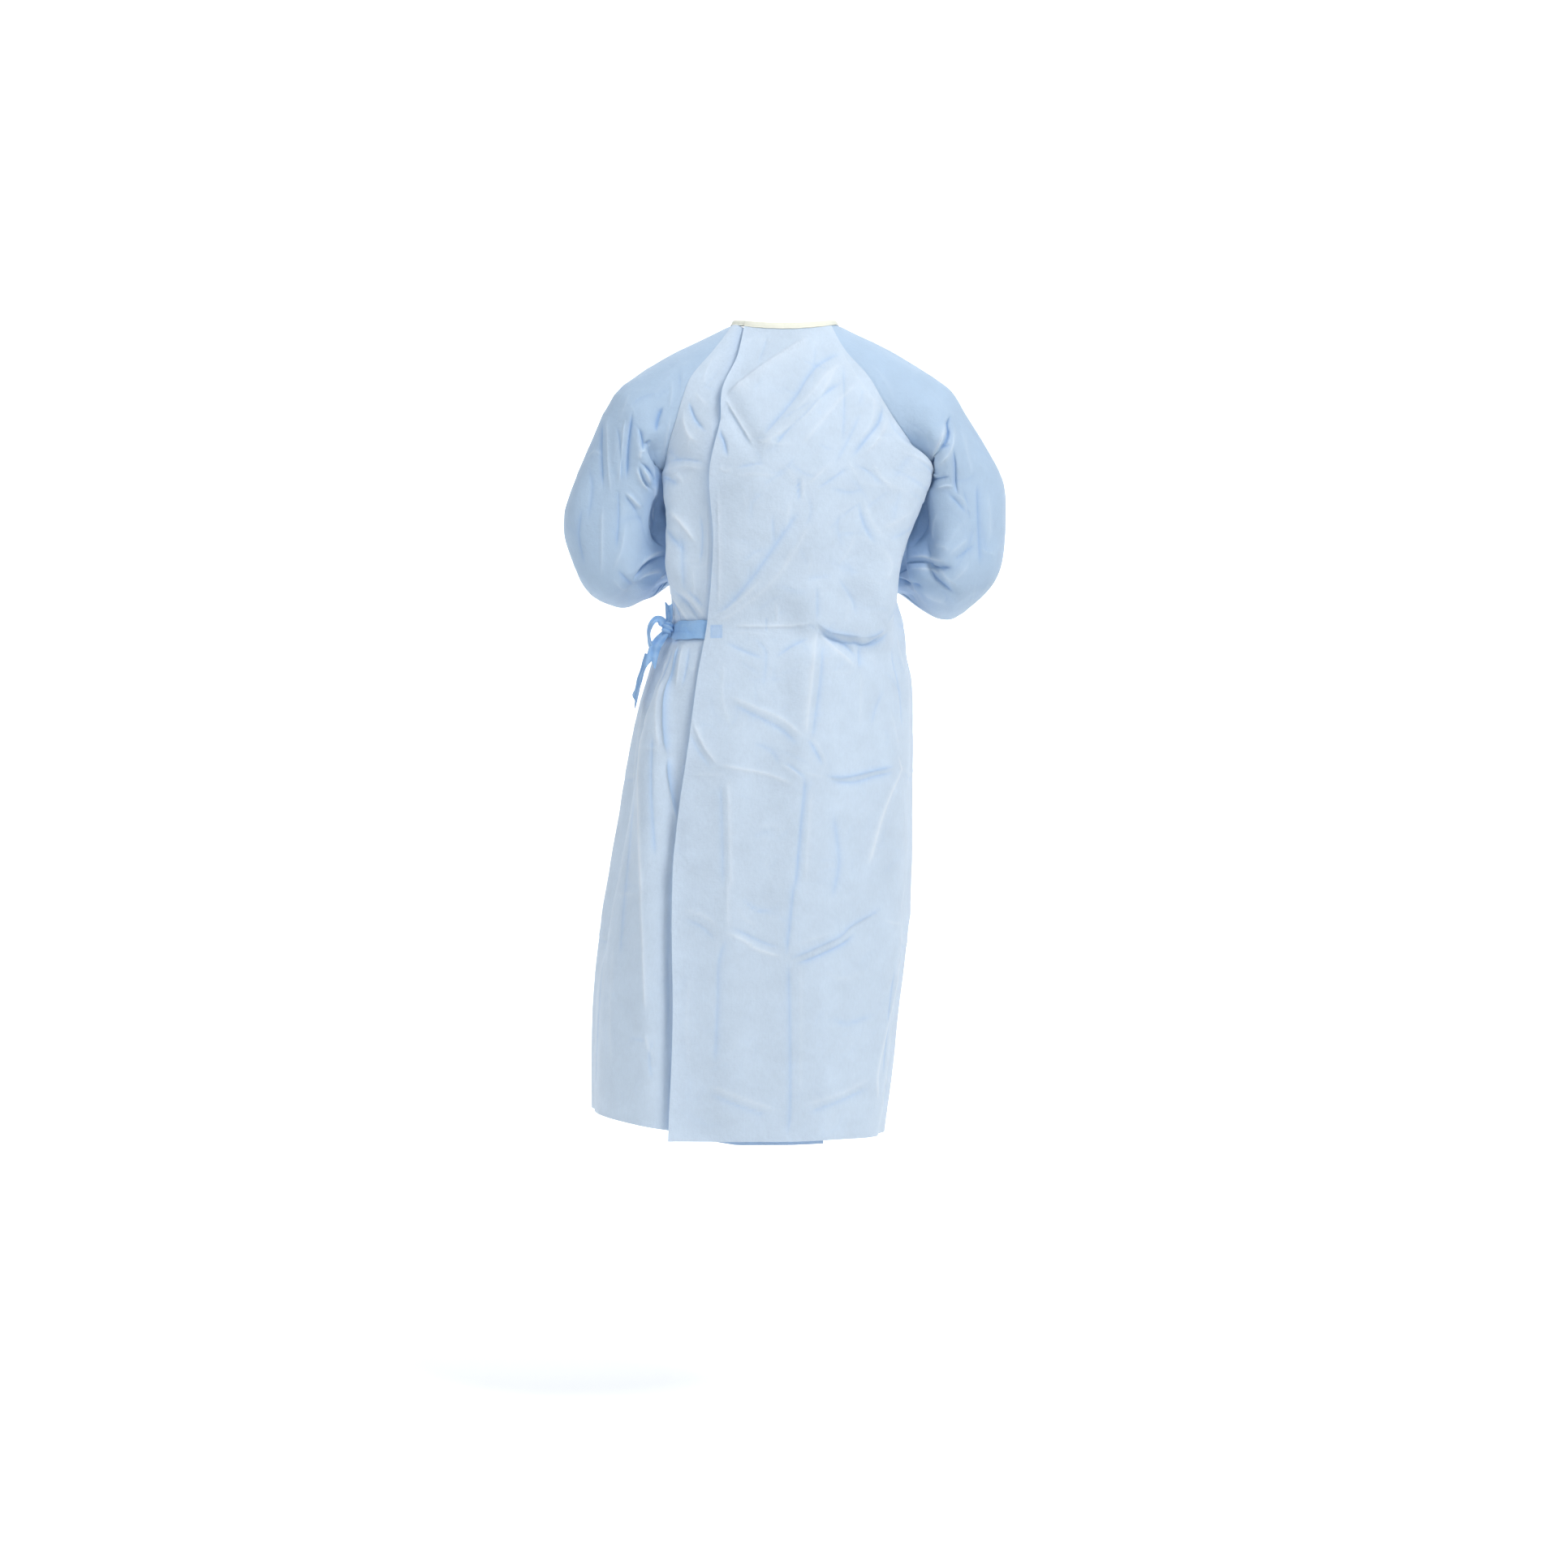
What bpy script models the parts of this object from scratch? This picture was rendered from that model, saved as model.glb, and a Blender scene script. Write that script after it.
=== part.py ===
"""Surgical gown, worn: raglan sleeves, knitted cuffs, bound neck, and a back that wraps over and ties at the side.

Metres, +Z up. -Y is the gown's back, where it wraps over; +X is the wearer's right.
The origin is the middle of the neck, level with the shoulders that carry the gown.
Every cloth piece is an open surface worked out from the tables below, then given its wall by Solidify.
"""

import math

import bmesh
import bpy
import numpy as np

# Cloth and making
CLOTH = 0.0012  # wall of the nonwoven panels, ties and sleeves
KNIT = 0.0020  # wall of the cuffs
BINDING_WALL = 0.0020
BINDING_HEIGHT = 0.0085
SEAM_PULL = 0.0005  # each piece stops this far short of its seam line
FORM_SQUARENESS = 2.4  # 2 is an ellipse, more is squarer

# Rows of each panel: in the skirt, over the waist, up the chest and from the armpit up to the neck
SKIRT_ROWS, WAIST_ROWS, CHEST_ROWS, YOKE_ROWS = 11, 9, 4, 10
WAIST_FROM, WAIST_TO = -0.56, -0.34
YOKE_SPACING = 1.5  # more than 1 puts the rows closer together by the armpit
PANEL_COLUMNS = {"front": 24, "outer": 24, "inner": 22}
SLEEVE_LENGTHWISE = 22  # points along a sleeve

# The body's outline at each height, from the hem up to the neck. height is on the centre back; side_rise and
# front_drop say how far the same line is higher at the sides and lower at the front.
BODY_COLUMNS = "height side_rise front_drop middle half_width back front"
BODY_ROWS = (
    (-1.172, 0.000, 0.000, -0.0675, 0.2125, 0.165, 0.176),
    (-1.080, 0.000, 0.000, -0.0610, 0.2190, 0.162, 0.172),
    (-1.000, 0.000, 0.000, -0.0560, 0.2210, 0.160, 0.168),
    (-0.850, 0.000, 0.000, -0.0400, 0.2225, 0.156, 0.160),
    (-0.720, 0.000, 0.000, -0.0280, 0.2170, 0.151, 0.154),
    (-0.620, 0.000, 0.000, -0.0195, 0.2085, 0.144, 0.148),
    (-0.560, 0.000, 0.000, -0.0140, 0.1990, 0.136, 0.142),
    (-0.500, 0.000, 0.000, -0.0060, 0.1870, 0.127, 0.135),
    (-0.440, 0.000, 0.000, 0.0040, 0.1730, 0.117, 0.128),
    (-0.380, 0.000, 0.000, -0.0010, 0.1610, 0.128, 0.133),
    (-0.320, 0.000, 0.000, 0.0040, 0.1620, 0.137, 0.136),
    (-0.270, 0.000, 0.000, 0.0140, 0.1720, 0.139, 0.133),
    (-0.222, 0.000, 0.000, 0.0155, 0.1905, 0.138, 0.128),
    (-0.150, 0.002, 0.012, 0.0060, 0.2120, 0.128, 0.116),
    (-0.090, 0.006, 0.030, 0.0020, 0.2280, 0.110, 0.103),
    (-0.045, 0.009, 0.045, 0.0010, 0.1560, 0.090, 0.094),
    (-0.014, 0.012, 0.060, 0.0010, 0.0770, 0.071, 0.086),
)
HEM, ARMPIT, NECK = BODY_ROWS[0][0], BODY_ROWS[12][0], BODY_ROWS[-1][0]
LIFT = 0.031  # the ties and the raised arms lift the hem at the wearer's left side
LIFT_FROM, LIFT_OVER = -0.75, 0.40

# The raglan seams, from the armpit up to the neck, as distances from the centre line.
RAGLAN_COLUMNS = "height back_left back_right front_left front_right"
RAGLAN_ROWS = (
    (-0.222, -0.1750, 0.2060, -0.1750, 0.2060),
    (-0.204, -0.1725, 0.2000, -0.1690, 0.1930),
    (-0.180, -0.1650, 0.1820, -0.1600, 0.1740),
    (-0.150, -0.1545, 0.1590, -0.1490, 0.1540),
    (-0.120, -0.1455, 0.1400, -0.1360, 0.1370),
    (-0.088, -0.1330, 0.1215, -0.1190, 0.1190),
    (-0.050, -0.1020, 0.0890, -0.0920, 0.0920),
    (-0.014, -0.0740, 0.0680, -0.0640, 0.0640),
)

# The two free edges at the back: the outer one shows, the inner one lies under it. tuck is how far in from the
# outer panel the inner one lies along that edge.
WRAP_COLUMNS = "height outer_edge inner_edge tuck"
WRAP_ROWS = (
    (-1.172, -0.1610, 0.0580, 0.024),
    (-1.000, -0.1555, 0.0560, 0.026),
    (-0.850, -0.1570, 0.0550, 0.024),
    (-0.740, -0.1530, 0.0540, 0.018),
    (-0.620, -0.1360, 0.0540, 0.012),
    (-0.520, -0.1230, 0.0530, 0.008),
    (-0.440, -0.1100, 0.0520, 0.007),
    (-0.320, -0.1000, 0.0480, 0.005),
    (-0.220, -0.1050, 0.0440, 0.004),
    (-0.150, -0.0900, 0.0400, 0.004),
    (-0.110, -0.0860, 0.0380, 0.004),
    (-0.060, -0.0660, 0.0360, 0.004),
    (-0.014, -0.0570, 0.0340, 0.004),
)
TUCK_REACH = 0.050  # the inner panel dips under the outer edge over this distance
TUCK_BEYOND = 0.005  # and lies this far under it further on,
TUCK_EASE_FROM, TUCK_EASE_OVER = 0.012, 0.050  # where the dip eases off
INNER_BELOW = 0.005  # the hidden part of its hem is this much lower
INNER_BELOW_FROM, INNER_BELOW_RISE, INNER_BELOW_OVER = -1.0, 0.15, 0.060

# The largest folds of the body. across and height give the line's two ends, on a face: x on back and front,
# y on left and right. A positive depth stands out and a negative one is a trough.
FOLD_COLUMNS = "across_top top across_bottom bottom width depth"
FOLDS = {
    "back": (
        (0.021, -0.034, -0.080, -0.112, 0.013, 0.007),  # ridge that the neck fastening pulls up
        (-0.080, -0.124, -0.048, -0.180, 0.009, -0.005),
        (0.078, -0.060, -0.040, -0.235, 0.016, 0.005),
        (0.125, -0.110, 0.050, -0.300, 0.018, 0.005),
        (0.150, -0.190, 0.095, -0.330, 0.014, -0.005),
        (0.168, -0.330, 0.112, -0.450, 0.018, 0.016),  # the back bags out over the waist
        (0.030, -0.405, 0.115, -0.440, 0.016, 0.010),
        (0.040, -0.462, 0.112, -0.482, 0.012, -0.007),
        (0.039, -0.450, 0.027, -0.640, 0.017, 0.007),
        (0.150, -0.640, 0.104, -0.790, 0.013, 0.006),
        (-0.078, -0.640, -0.074, -1.120, 0.020, 0.004),
        (0.022, -0.680, 0.008, -1.172, 0.022, 0.005),
        (0.148, -0.900, 0.118, -1.172, 0.014, 0.008),
        (-0.198, -0.560, -0.176, -1.172, 0.018, 0.010),  # long fold down from the knot
        (-0.163, -0.490, -0.154, -0.740, 0.008, -0.010),  # pleat beside the wrap
    ),
    "front": (
        (0.085, -0.110, 0.030, -0.400, 0.018, 0.006),
        (-0.088, -0.120, -0.035, -0.390, 0.018, 0.006),
        (0.010, -0.300, -0.100, -0.430, 0.014, 0.005),
        (-0.120, -0.490, -0.150, -1.172, 0.024, 0.012),
        (-0.050, -0.520, -0.065, -1.172, 0.022, -0.010),
        (0.022, -0.520, 0.020, -1.172, 0.026, 0.011),
        (0.085, -0.560, 0.070, -1.172, 0.020, -0.008),
        (0.130, -0.500, 0.110, -1.172, 0.018, 0.008),
    ),
    "right": (
        (-0.080, -0.200, -0.085, -0.370, 0.026, 0.029),  # edge of the bagged back, behind the sleeve
        (-0.055, -0.400, -0.060, -0.470, 0.020, -0.012),  # hollow beside it
        (0.030, -0.300, 0.010, -0.470, 0.016, -0.007),
        (0.020, -0.520, -0.010, -1.172, 0.020, 0.007),
        (-0.070, -0.900, -0.075, -1.172, 0.012, 0.006),
    ),
    "left": (
        (-0.062, -0.262, -0.062, -0.350, 0.018, 0.022),
        (0.030, -0.300, 0.000, -0.430, 0.014, -0.006),
        (-0.005, -0.470, 0.040, -1.172, 0.018, 0.009),
        (-0.050, -0.470, -0.030, -0.900, 0.014, -0.007),
    ),
}
FACE_OUTWARD = {"back": (0, -1), "front": (0, 1), "right": (1, 0), "left": (-1, 0)}
FACE_FROM, FACE_OVER = 0.25, 0.45  # a face's folds start where the cloth turns this far towards it
FADE_BY_NECK = 0.03  # folds die out this far below the neck
FADE_BY_SEAM, FADE_BY_ARMPIT = math.radians(12), 0.05  # and this near to a raglan seam

# Rings down each sleeve from the top of the arm to the wrist. x y z is a ring's middle; lean is how steeply its
# wide half rises towards the shoulder, in degrees; deep is its half width front to back; sag hangs below; and
# squared is 1 where the ring stands square to the arm.
SLEEVE_COLUMNS = "x y z lean wide deep square sag squared"
SLEEVE_ROWS = {
    "right": (
        (0.2290, 0.000, -0.1523, 83.7, 0.0642, 0.096, 2.8, 0.000, 0),
        (0.2410, 0.000, -0.1830, 63.2, 0.0549, 0.090, 2.6, 0.000, 0),
        (0.2520, 0.000, -0.2165, 37.1, 0.0539, 0.084, 2.4, 0.000, 0),
        (0.2588, -0.004, -0.2490, 16.0, 0.0616, 0.074, 2.2, 0.000, 0),
        (0.2558, -0.011, -0.2880, 4.8, 0.0660, 0.061, 2.0, 0.000, 0),
        (0.2480, -0.014, -0.3480, -3.0, 0.0662, 0.061, 2.0, 0.003, 0),
        (0.2380, 0.066, -0.3600, 0.0, 0.0580, 0.058, 2.0, 0.006, 1),
        (0.2100, 0.120, -0.3570, 0.0, 0.0500, 0.052, 2.0, 0.008, 1),
        (0.1650, 0.168, -0.3490, 0.0, 0.0430, 0.045, 2.0, 0.005, 1),
        (0.1100, 0.203, -0.3370, 0.0, 0.0360, 0.037, 2.0, 0.002, 1),
        (0.0820, 0.214, -0.3330, 0.0, 0.0310, 0.031, 2.0, 0.000, 1),
    ),
    "left": (
        (-0.2098, 0.000, -0.1510, 71.0, 0.0680, 0.096, 2.8, 0.000, 0),
        (-0.2195, 0.000, -0.1785, 51.5, 0.0685, 0.090, 2.6, 0.000, 0),
        (-0.2280, 0.000, -0.2105, 34.5, 0.0680, 0.084, 2.4, 0.000, 0),
        (-0.2355, -0.004, -0.2440, 18.0, 0.0710, 0.074, 2.2, 0.000, 0),
        (-0.2415, -0.011, -0.2820, 5.5, 0.0772, 0.061, 2.0, 0.000, 0),
        (-0.2440, -0.014, -0.3380, -3.0, 0.0755, 0.061, 2.0, 0.003, 0),
        (-0.2340, 0.066, -0.3500, 0.0, 0.0580, 0.056, 2.0, 0.005, 1),
        (-0.2060, 0.120, -0.3460, 0.0, 0.0500, 0.051, 2.0, 0.008, 1),
        (-0.1640, 0.168, -0.3370, 0.0, 0.0430, 0.045, 2.0, 0.005, 1),
        (-0.1100, 0.203, -0.3280, 0.0, 0.0360, 0.037, 2.0, 0.002, 1),
        (-0.0820, 0.214, -0.3250, 0.0, 0.0310, 0.031, 2.0, 0.000, 1),
    ),
}
NECK_SHARE = 0.10  # the part of half an armhole loop that runs along the neck
CROOK = 0.30  # how much the sleeve is pressed in on the inside of the elbow
SLEEVE_GIRTH, SLEEVE_LENGTH = 0.42, 0.52  # about, to turn the shares below into metres

# Folds of a sleeve: around is in turns from the shoulder line (0.25 is the back, 0.5 under the arm), along runs
# from 0 at the raglan seam to 1 at the cuff, and width and depth are metres.
SLEEVE_FOLD_COLUMNS = "around_top along_top around_bottom along_bottom width depth"
SLEEVE_FOLDS = (
    (0.36, 0.10, 0.42, 0.36, 0.012, -0.009),
    (0.27, 0.12, 0.28, 0.42, 0.016, 0.005),
    (0.10, 0.16, 0.12, 0.46, 0.018, 0.005),
    (0.44, 0.34, 0.30, 0.52, 0.013, -0.009),
    (0.56, 0.40, 0.34, 0.60, 0.012, 0.006),
    (0.62, 0.50, 0.44, 0.68, 0.010, -0.006),
    (0.78, 0.36, 0.66, 0.50, 0.014, -0.008),
    (0.90, 0.20, 0.80, 0.44, 0.016, 0.005),
)

CUFF_LENGTH = 0.062
CUFF_WRIST = 0.0265  # half width of the cuff where it grips
CUFF_START = 0.96  # its width where it is sewn on, as a share of the sleeve's
CUFF_GRIP = 0.45  # the share of its length over which it narrows
CUFF_GAP = 0.0006
CUFF_AROUND, CUFF_ALONG = 24, 5  # points

BINDING_LEAN = 0.42  # how far the binding leans in over the neck, as a slope
BINDING_AROUND = 60  # points

# The ties. One comes out from under the outer edge and runs forward to the knot at the wearer's left side; the
# other is sewn to the front and comes back to it.
TIE_WIDTH = 0.026
TIE_HEIGHT = -0.447
TIE_UPRIGHT = 4  # points across a tie
TIE_BACK_ALONG, TIE_FRONT_ALONG = 20, 22  # points along it
TIE_BACK_STOP, TIE_FRONT_STOP = 0.07, 0.10  # each stops this far short of the knot, as an angle
TIE_CLEAR = 0.0018  # between the cloth and the tie over it
TIE_TUCKED_END = -0.086  # x of the sewn end under the outer panel
TIE_FRONT_END = -0.095  # x of the sewn end on the front
KNOT_ANGLE = math.radians(-72)
KNOT_ABOVE = 0.003  # the knot's middle is this much above the ties'
KNOT_HALF = (0.0085, 0.0070, 0.0085)
KNOT_SQUARED = 0.8  # 1 is a plain ball, less is squarer
KNOT_OUT = 0.0105  # the knot's middle stands this far off the cloth

# The free ends and the loop, each a ribbon along a line. x y z are from the knot's middle; width is across the
# ribbon; face turns it away from the gown's back, and curl rounds it across, both in degrees.
RIBBON_COLUMNS = "x y z width face curl"
RIBBONS = {
    "tie_stub": (
        (-0.0010, -0.001, 0.0100, 0.012, 20, 80),
        (-0.0016, -0.002, 0.0220, 0.014, 10, 80),
        (-0.0022, -0.002, 0.0350, 0.016, 5, 70),
    ),
    "tie_loop": (
        (-0.0098, -0.002, 0.0050, 0.014, 10, 30),
        (-0.0160, -0.004, 0.0100, 0.015, 15, 30),
        (-0.0215, -0.007, 0.0080, 0.016, 40, 20),
        (-0.0258, -0.009, -0.0020, 0.017, 55, 20),
        (-0.0290, -0.009, -0.0120, 0.018, 70, 20),
        (-0.0285, -0.012, -0.0215, 0.017, 84, 10),
    ),
    "tie_end_short": (
        (-0.0050, -0.001, -0.0105, 0.014, 15, 60),
        (-0.0130, -0.002, -0.0180, 0.017, 10, 40),
        (-0.0190, -0.003, -0.0280, 0.020, 0, 30),
        (-0.0225, -0.003, -0.0400, 0.020, 0, 30),
        (-0.0240, -0.003, -0.0530, 0.018, 0, 20),
    ),
    "tie_end_long": (
        (-0.0310, 0.008, -0.0340, 0.016, 55, 30),
        (-0.0345, 0.009, -0.0520, 0.018, 60, 30),
        (-0.0392, 0.009, -0.0690, 0.020, 62, 30),
        (-0.0444, 0.009, -0.0870, 0.022, 66, 30),
        (-0.0521, 0.008, -0.1060, 0.024, 66, 20),
    ),
}

COLOURS = {
    "body": (0.62, 0.74, 0.88, 1.0),
    "sleeve": (0.49, 0.66, 0.86, 1.0),
    "tie": (0.27, 0.47, 0.76, 1.0),
    "binding": (0.93, 0.91, 0.79, 1.0),
    "cuff": (0.90, 0.90, 0.87, 1.0),
}
ROUGHNESS = {"body": 0.72, "sleeve": 0.70, "tie": 0.72, "binding": 0.85, "cuff": 0.92}


def table(names, rows):
    """The rows of a table as one array for each named column."""
    return dict(zip(names.split(), np.array(rows, float).T))


BODY = table(BODY_COLUMNS, BODY_ROWS)
RAGLAN = table(RAGLAN_COLUMNS, RAGLAN_ROWS)
WRAP = table(WRAP_COLUMNS, WRAP_ROWS)


def curve_through(at, knots, values):
    """Smooth curve through a table's rows: on each stretch a cubic whose slope at a row is the mean of the two
    stretches that meet there."""
    over = (slice(None),) + (None,) * (values.ndim - 1)
    stretch = np.diff(values, axis=0) / np.diff(knots)[over]
    slope = np.concatenate([stretch[:1], (stretch[1:] + stretch[:-1]) / 2, stretch[-1:]])
    i = np.clip(np.searchsorted(knots, at, side="right") - 1, 0, len(knots) - 2)
    length = knots[i + 1] - knots[i]
    t = np.clip((at - knots[i]) / length, 0.0, 1.0)
    if values.ndim > 1:
        t, length = t[over], length[over]
    start, end = values[i], values[i + 1]
    return (
        (2 * t**3 - 3 * t**2 + 1) * start
        + (t**3 - 2 * t**2 + t) * length * slope[i]
        + (3 * t**2 - 2 * t**3) * end
        + (t**3 - t**2) * length * slope[i + 1]
    )


def read(columns, name, height):
    """A column of a table of heights at any height."""
    return curve_through(height, columns["height"], columns[name])


def smoothstep(t):
    t = np.clip(t, 0.0, 1.0)
    return t * t * (3 - 2 * t)


def power(value, exponent):
    return np.sign(value) * np.abs(value) ** exponent


def body_form(angle, height):
    """The worn body before its folds. Angle 0 is the centre back, a quarter turn the wearer's right side and
    half a turn the centre front."""
    angle, height = np.broadcast_arrays(np.asarray(angle, float), np.asarray(height, float))
    sine, cosine = np.sin(angle), np.cos(angle)
    depth = np.where(cosine > 0, read(BODY, "back", height), read(BODY, "front", height))
    x = read(BODY, "middle", height) + read(BODY, "half_width", height) * power(sine, 2 / FORM_SQUARENESS)
    y = -depth * power(cosine, 2 / FORM_SQUARENESS)
    rise = read(BODY, "side_rise", height) * sine**2
    drop = read(BODY, "front_drop", height) * np.where(cosine < 0, cosine**2, 0.0)
    return np.stack([x, y, height + rise - drop], axis=-1)


def angle_at(x, height):
    """The angle on the back at which the form is that far from the centre line."""
    share = (x - read(BODY, "middle", height)) / read(BODY, "half_width", height)
    return np.arcsin(np.clip(power(share, FORM_SQUARENESS / 2), -1.0, 1.0))


def seam_angle(side, face, height):
    """The angle of a raglan seam, or of the side seam below the armpit."""
    above = np.maximum(height, ARMPIT)
    seam = angle_at(read(RAGLAN, face + "_" + side, above), above)
    quarter = math.pi / 2 if side == "right" else -math.pi / 2
    if face == "front":
        seam = 2 * quarter - seam
    return np.where(height <= ARMPIT, quarter, seam)


def pull_back(height):
    """SEAM_PULL as an angle."""
    return SEAM_PULL / read(BODY, "half_width", height)


def form_normal(angle, height):
    """Outward unit normal of the worn body's form."""
    across = body_form(angle + 0.02, height) - body_form(angle - 0.02, height)
    top = np.minimum(height + 0.004, NECK)
    along = body_form(angle, top) - body_form(angle, top - 0.008)
    return unit(np.cross(across, along))


def unit(vectors):
    return vectors / np.maximum(np.linalg.norm(vectors, axis=-1, keepdims=True), 1e-12)


def normals_of(grid, closed=False):
    """Unit normals of a grid of points: the cross product of its two directions."""
    if closed:
        across = np.roll(grid, -1, axis=1) - np.roll(grid, 1, axis=1)
    else:
        across = np.gradient(grid, axis=1)
    along = np.gradient(grid, axis=0)
    return unit(np.cross(across, along))


def fold_line(across, height, columns):
    """Sum of folds over a face: each is a bell across its line, and dies away past the line's two ends."""
    total = np.zeros_like(across)
    for i in range(len(columns["depth"])):
        start = np.array([columns["across_top"][i], columns["top"][i]])
        step = np.array([columns["across_bottom"][i], columns["bottom"][i]]) - start
        length = np.hypot(*step)
        along = ((across - start[0]) * step[0] + (height - start[1]) * step[1]) / length
        off = ((across - start[0]) * step[1] - (height - start[1]) * step[0]) / length
        width = columns["width"][i]
        past = np.maximum(np.maximum(-along, along - length), 0.0)
        total += columns["depth"][i] * np.exp(-(off**2) / (2 * width**2) - past**2 / (8 * width**2))
    return total


def body_folds(points, normal):
    """How far each point of the body is moved out by the folds of the faces that it belongs to."""
    total = np.zeros(points.shape[:-1])
    for face, rows in FOLDS.items():
        outward = FACE_OUTWARD[face]
        across = points[..., 0] if outward[0] == 0 else points[..., 1]
        facing = normal[..., 0] * outward[0] + normal[..., 1] * outward[1]
        share = smoothstep((facing - FACE_FROM) / FACE_OVER)
        total += share * fold_line(across, points[..., 2], table(FOLD_COLUMNS, rows))
    return total


def yoke_height(share):
    """Height at a share of the rows up a raglan seam."""
    return ARMPIT + (NECK - ARMPIT) * share**YOKE_SPACING


def row_heights():
    """Heights of the rows of every body panel, from the hem up."""
    skirt = np.linspace(HEM, WAIST_FROM, SKIRT_ROWS + 1)[:-1]
    waist = np.linspace(WAIST_FROM, WAIST_TO, WAIST_ROWS + 1)[:-1]
    chest = np.linspace(WAIST_TO, ARMPIT, CHEST_ROWS + 1)[:-1]
    return np.concatenate([skirt, waist, chest, yoke_height(np.linspace(0.0, 1.0, YOKE_ROWS))])


def spread(first, last, count):
    """count angles on each row, evenly from its first to its last."""
    share = np.linspace(0.0, 1.0, count)
    return first[:, None] * (1 - share) + last[:, None] * share


def fold_fade(angle, height):
    """1 on the body and 0 on the raglan seams and the neck, so that folds die out where pieces meet."""
    turn = np.mod(angle + math.pi, 2 * math.pi) - math.pi
    nearest = np.full(turn.shape, 10.0)
    for side in ("left", "right"):
        for face in ("back", "front"):
            seam = np.mod(seam_angle(side, face, height) + math.pi, 2 * math.pi) - math.pi
            nearest = np.minimum(nearest, np.abs(turn - seam))
    near_seam = 1 - smoothstep(nearest / FADE_BY_SEAM)
    above = smoothstep((height - ARMPIT + FADE_BY_ARMPIT) / FADE_BY_ARMPIT)
    return smoothstep((NECK - height) / FADE_BY_NECK) * (1 - above * near_seam)


def body_skin(angle, height):
    """The body's cloth with its folds, and the way out of it."""
    angle, height = np.broadcast_arrays(np.asarray(angle, float), np.asarray(height, float))
    points, normal = body_form(angle, height), form_normal(angle, height)
    return points + normal * (body_folds(points, normal) * fold_fade(angle, height))[..., None], normal


def lifted(points, angle, height):
    """The hem lifted at the wearer's left side."""
    share = np.where(np.cos(angle) > 0, np.maximum(-np.sin(angle), 0.0) ** 0.8, (1 - np.sin(angle)) / 2)
    points = points.copy()
    points[..., 2] += LIFT * share * smoothstep((LIFT_FROM - height) / LIFT_OVER)
    return points


def front_panel():
    heights = row_heights()
    first = seam_angle("right", "front", heights) + pull_back(heights)
    last = 2 * math.pi + seam_angle("left", "front", heights) - pull_back(heights)
    angles = spread(first, last, PANEL_COLUMNS["front"])
    return lifted(body_skin(angles, heights[:, None])[0], angles, heights[:, None])


def back_outer():
    """The wearer's right back panel, which wraps over the other one to its free edge."""
    heights = row_heights()
    first = angle_at(read(WRAP, "outer_edge", heights), heights)
    last = seam_angle("right", "back", heights) - pull_back(heights)
    return body_skin(spread(first, last, PANEL_COLUMNS["outer"]), heights[:, None])[0]


def inner_skin(angle, height):
    """The wearer's left back panel: it leaves its own seams level with the rest, dips under the outer edge, and
    lies close under the outer panel further on."""
    angle, height = np.broadcast_arrays(np.asarray(angle, float), np.asarray(height, float))
    points, normal = body_skin(angle, height)
    x = body_form(angle, height)[..., 0]
    seam = body_form(seam_angle("left", "back", height), height)[..., 0]
    edge = read(WRAP, "outer_edge", height)
    reach = np.minimum(TUCK_REACH, (edge - seam) * 0.9)
    tuck = read(WRAP, "tuck", height)
    beyond = np.minimum(tuck, TUCK_BEYOND)
    depth = tuck * smoothstep((x - edge + reach) / reach)
    depth = depth - (tuck - beyond) * smoothstep((x - edge - TUCK_EASE_FROM) / TUCK_EASE_OVER)
    points = lifted(points - normal * depth[..., None], angle, height)
    low = smoothstep((INNER_BELOW_FROM - height) / INNER_BELOW_RISE)
    points[..., 2] -= INNER_BELOW * smoothstep((x - edge) / INNER_BELOW_OVER) * low
    return points, normal


def back_inner():
    heights = row_heights()
    first = seam_angle("left", "back", heights) + pull_back(heights)
    last = angle_at(read(WRAP, "inner_edge", heights), heights)
    return inner_skin(spread(first, last, PANEL_COLUMNS["inner"]), heights[:, None])[0]


def sleeve_turns():
    """Places round a sleeve in turns: they share the rows of the panels at the seams."""
    corner = NECK_SHARE / 2
    down_and_up = np.linspace(corner, 1 - corner, 2 * YOKE_ROWS - 1)
    return np.concatenate([[0.0, corner / 2], down_and_up, [1 - corner / 2]])


def armhole(side, turns):
    """The loop where a sleeve is sewn on: along the neck over the shoulder, down the back raglan seam to the
    armpit, and up the front one."""
    quarter = math.pi / 2 if side == "right" else -math.pi / 2
    share = np.minimum(turns, 1 - turns) * 2
    along_neck = np.clip(share / NECK_SHARE, 0.0, 1.0)
    height = yoke_height(np.clip((1 - share) / (1 - NECK_SHARE), 0.0, 1.0))
    seam = np.where(turns <= 0.5, seam_angle(side, "back", height), seam_angle(side, "front", height))
    return body_form(quarter + (seam - quarter) * along_neck, height)


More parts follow.
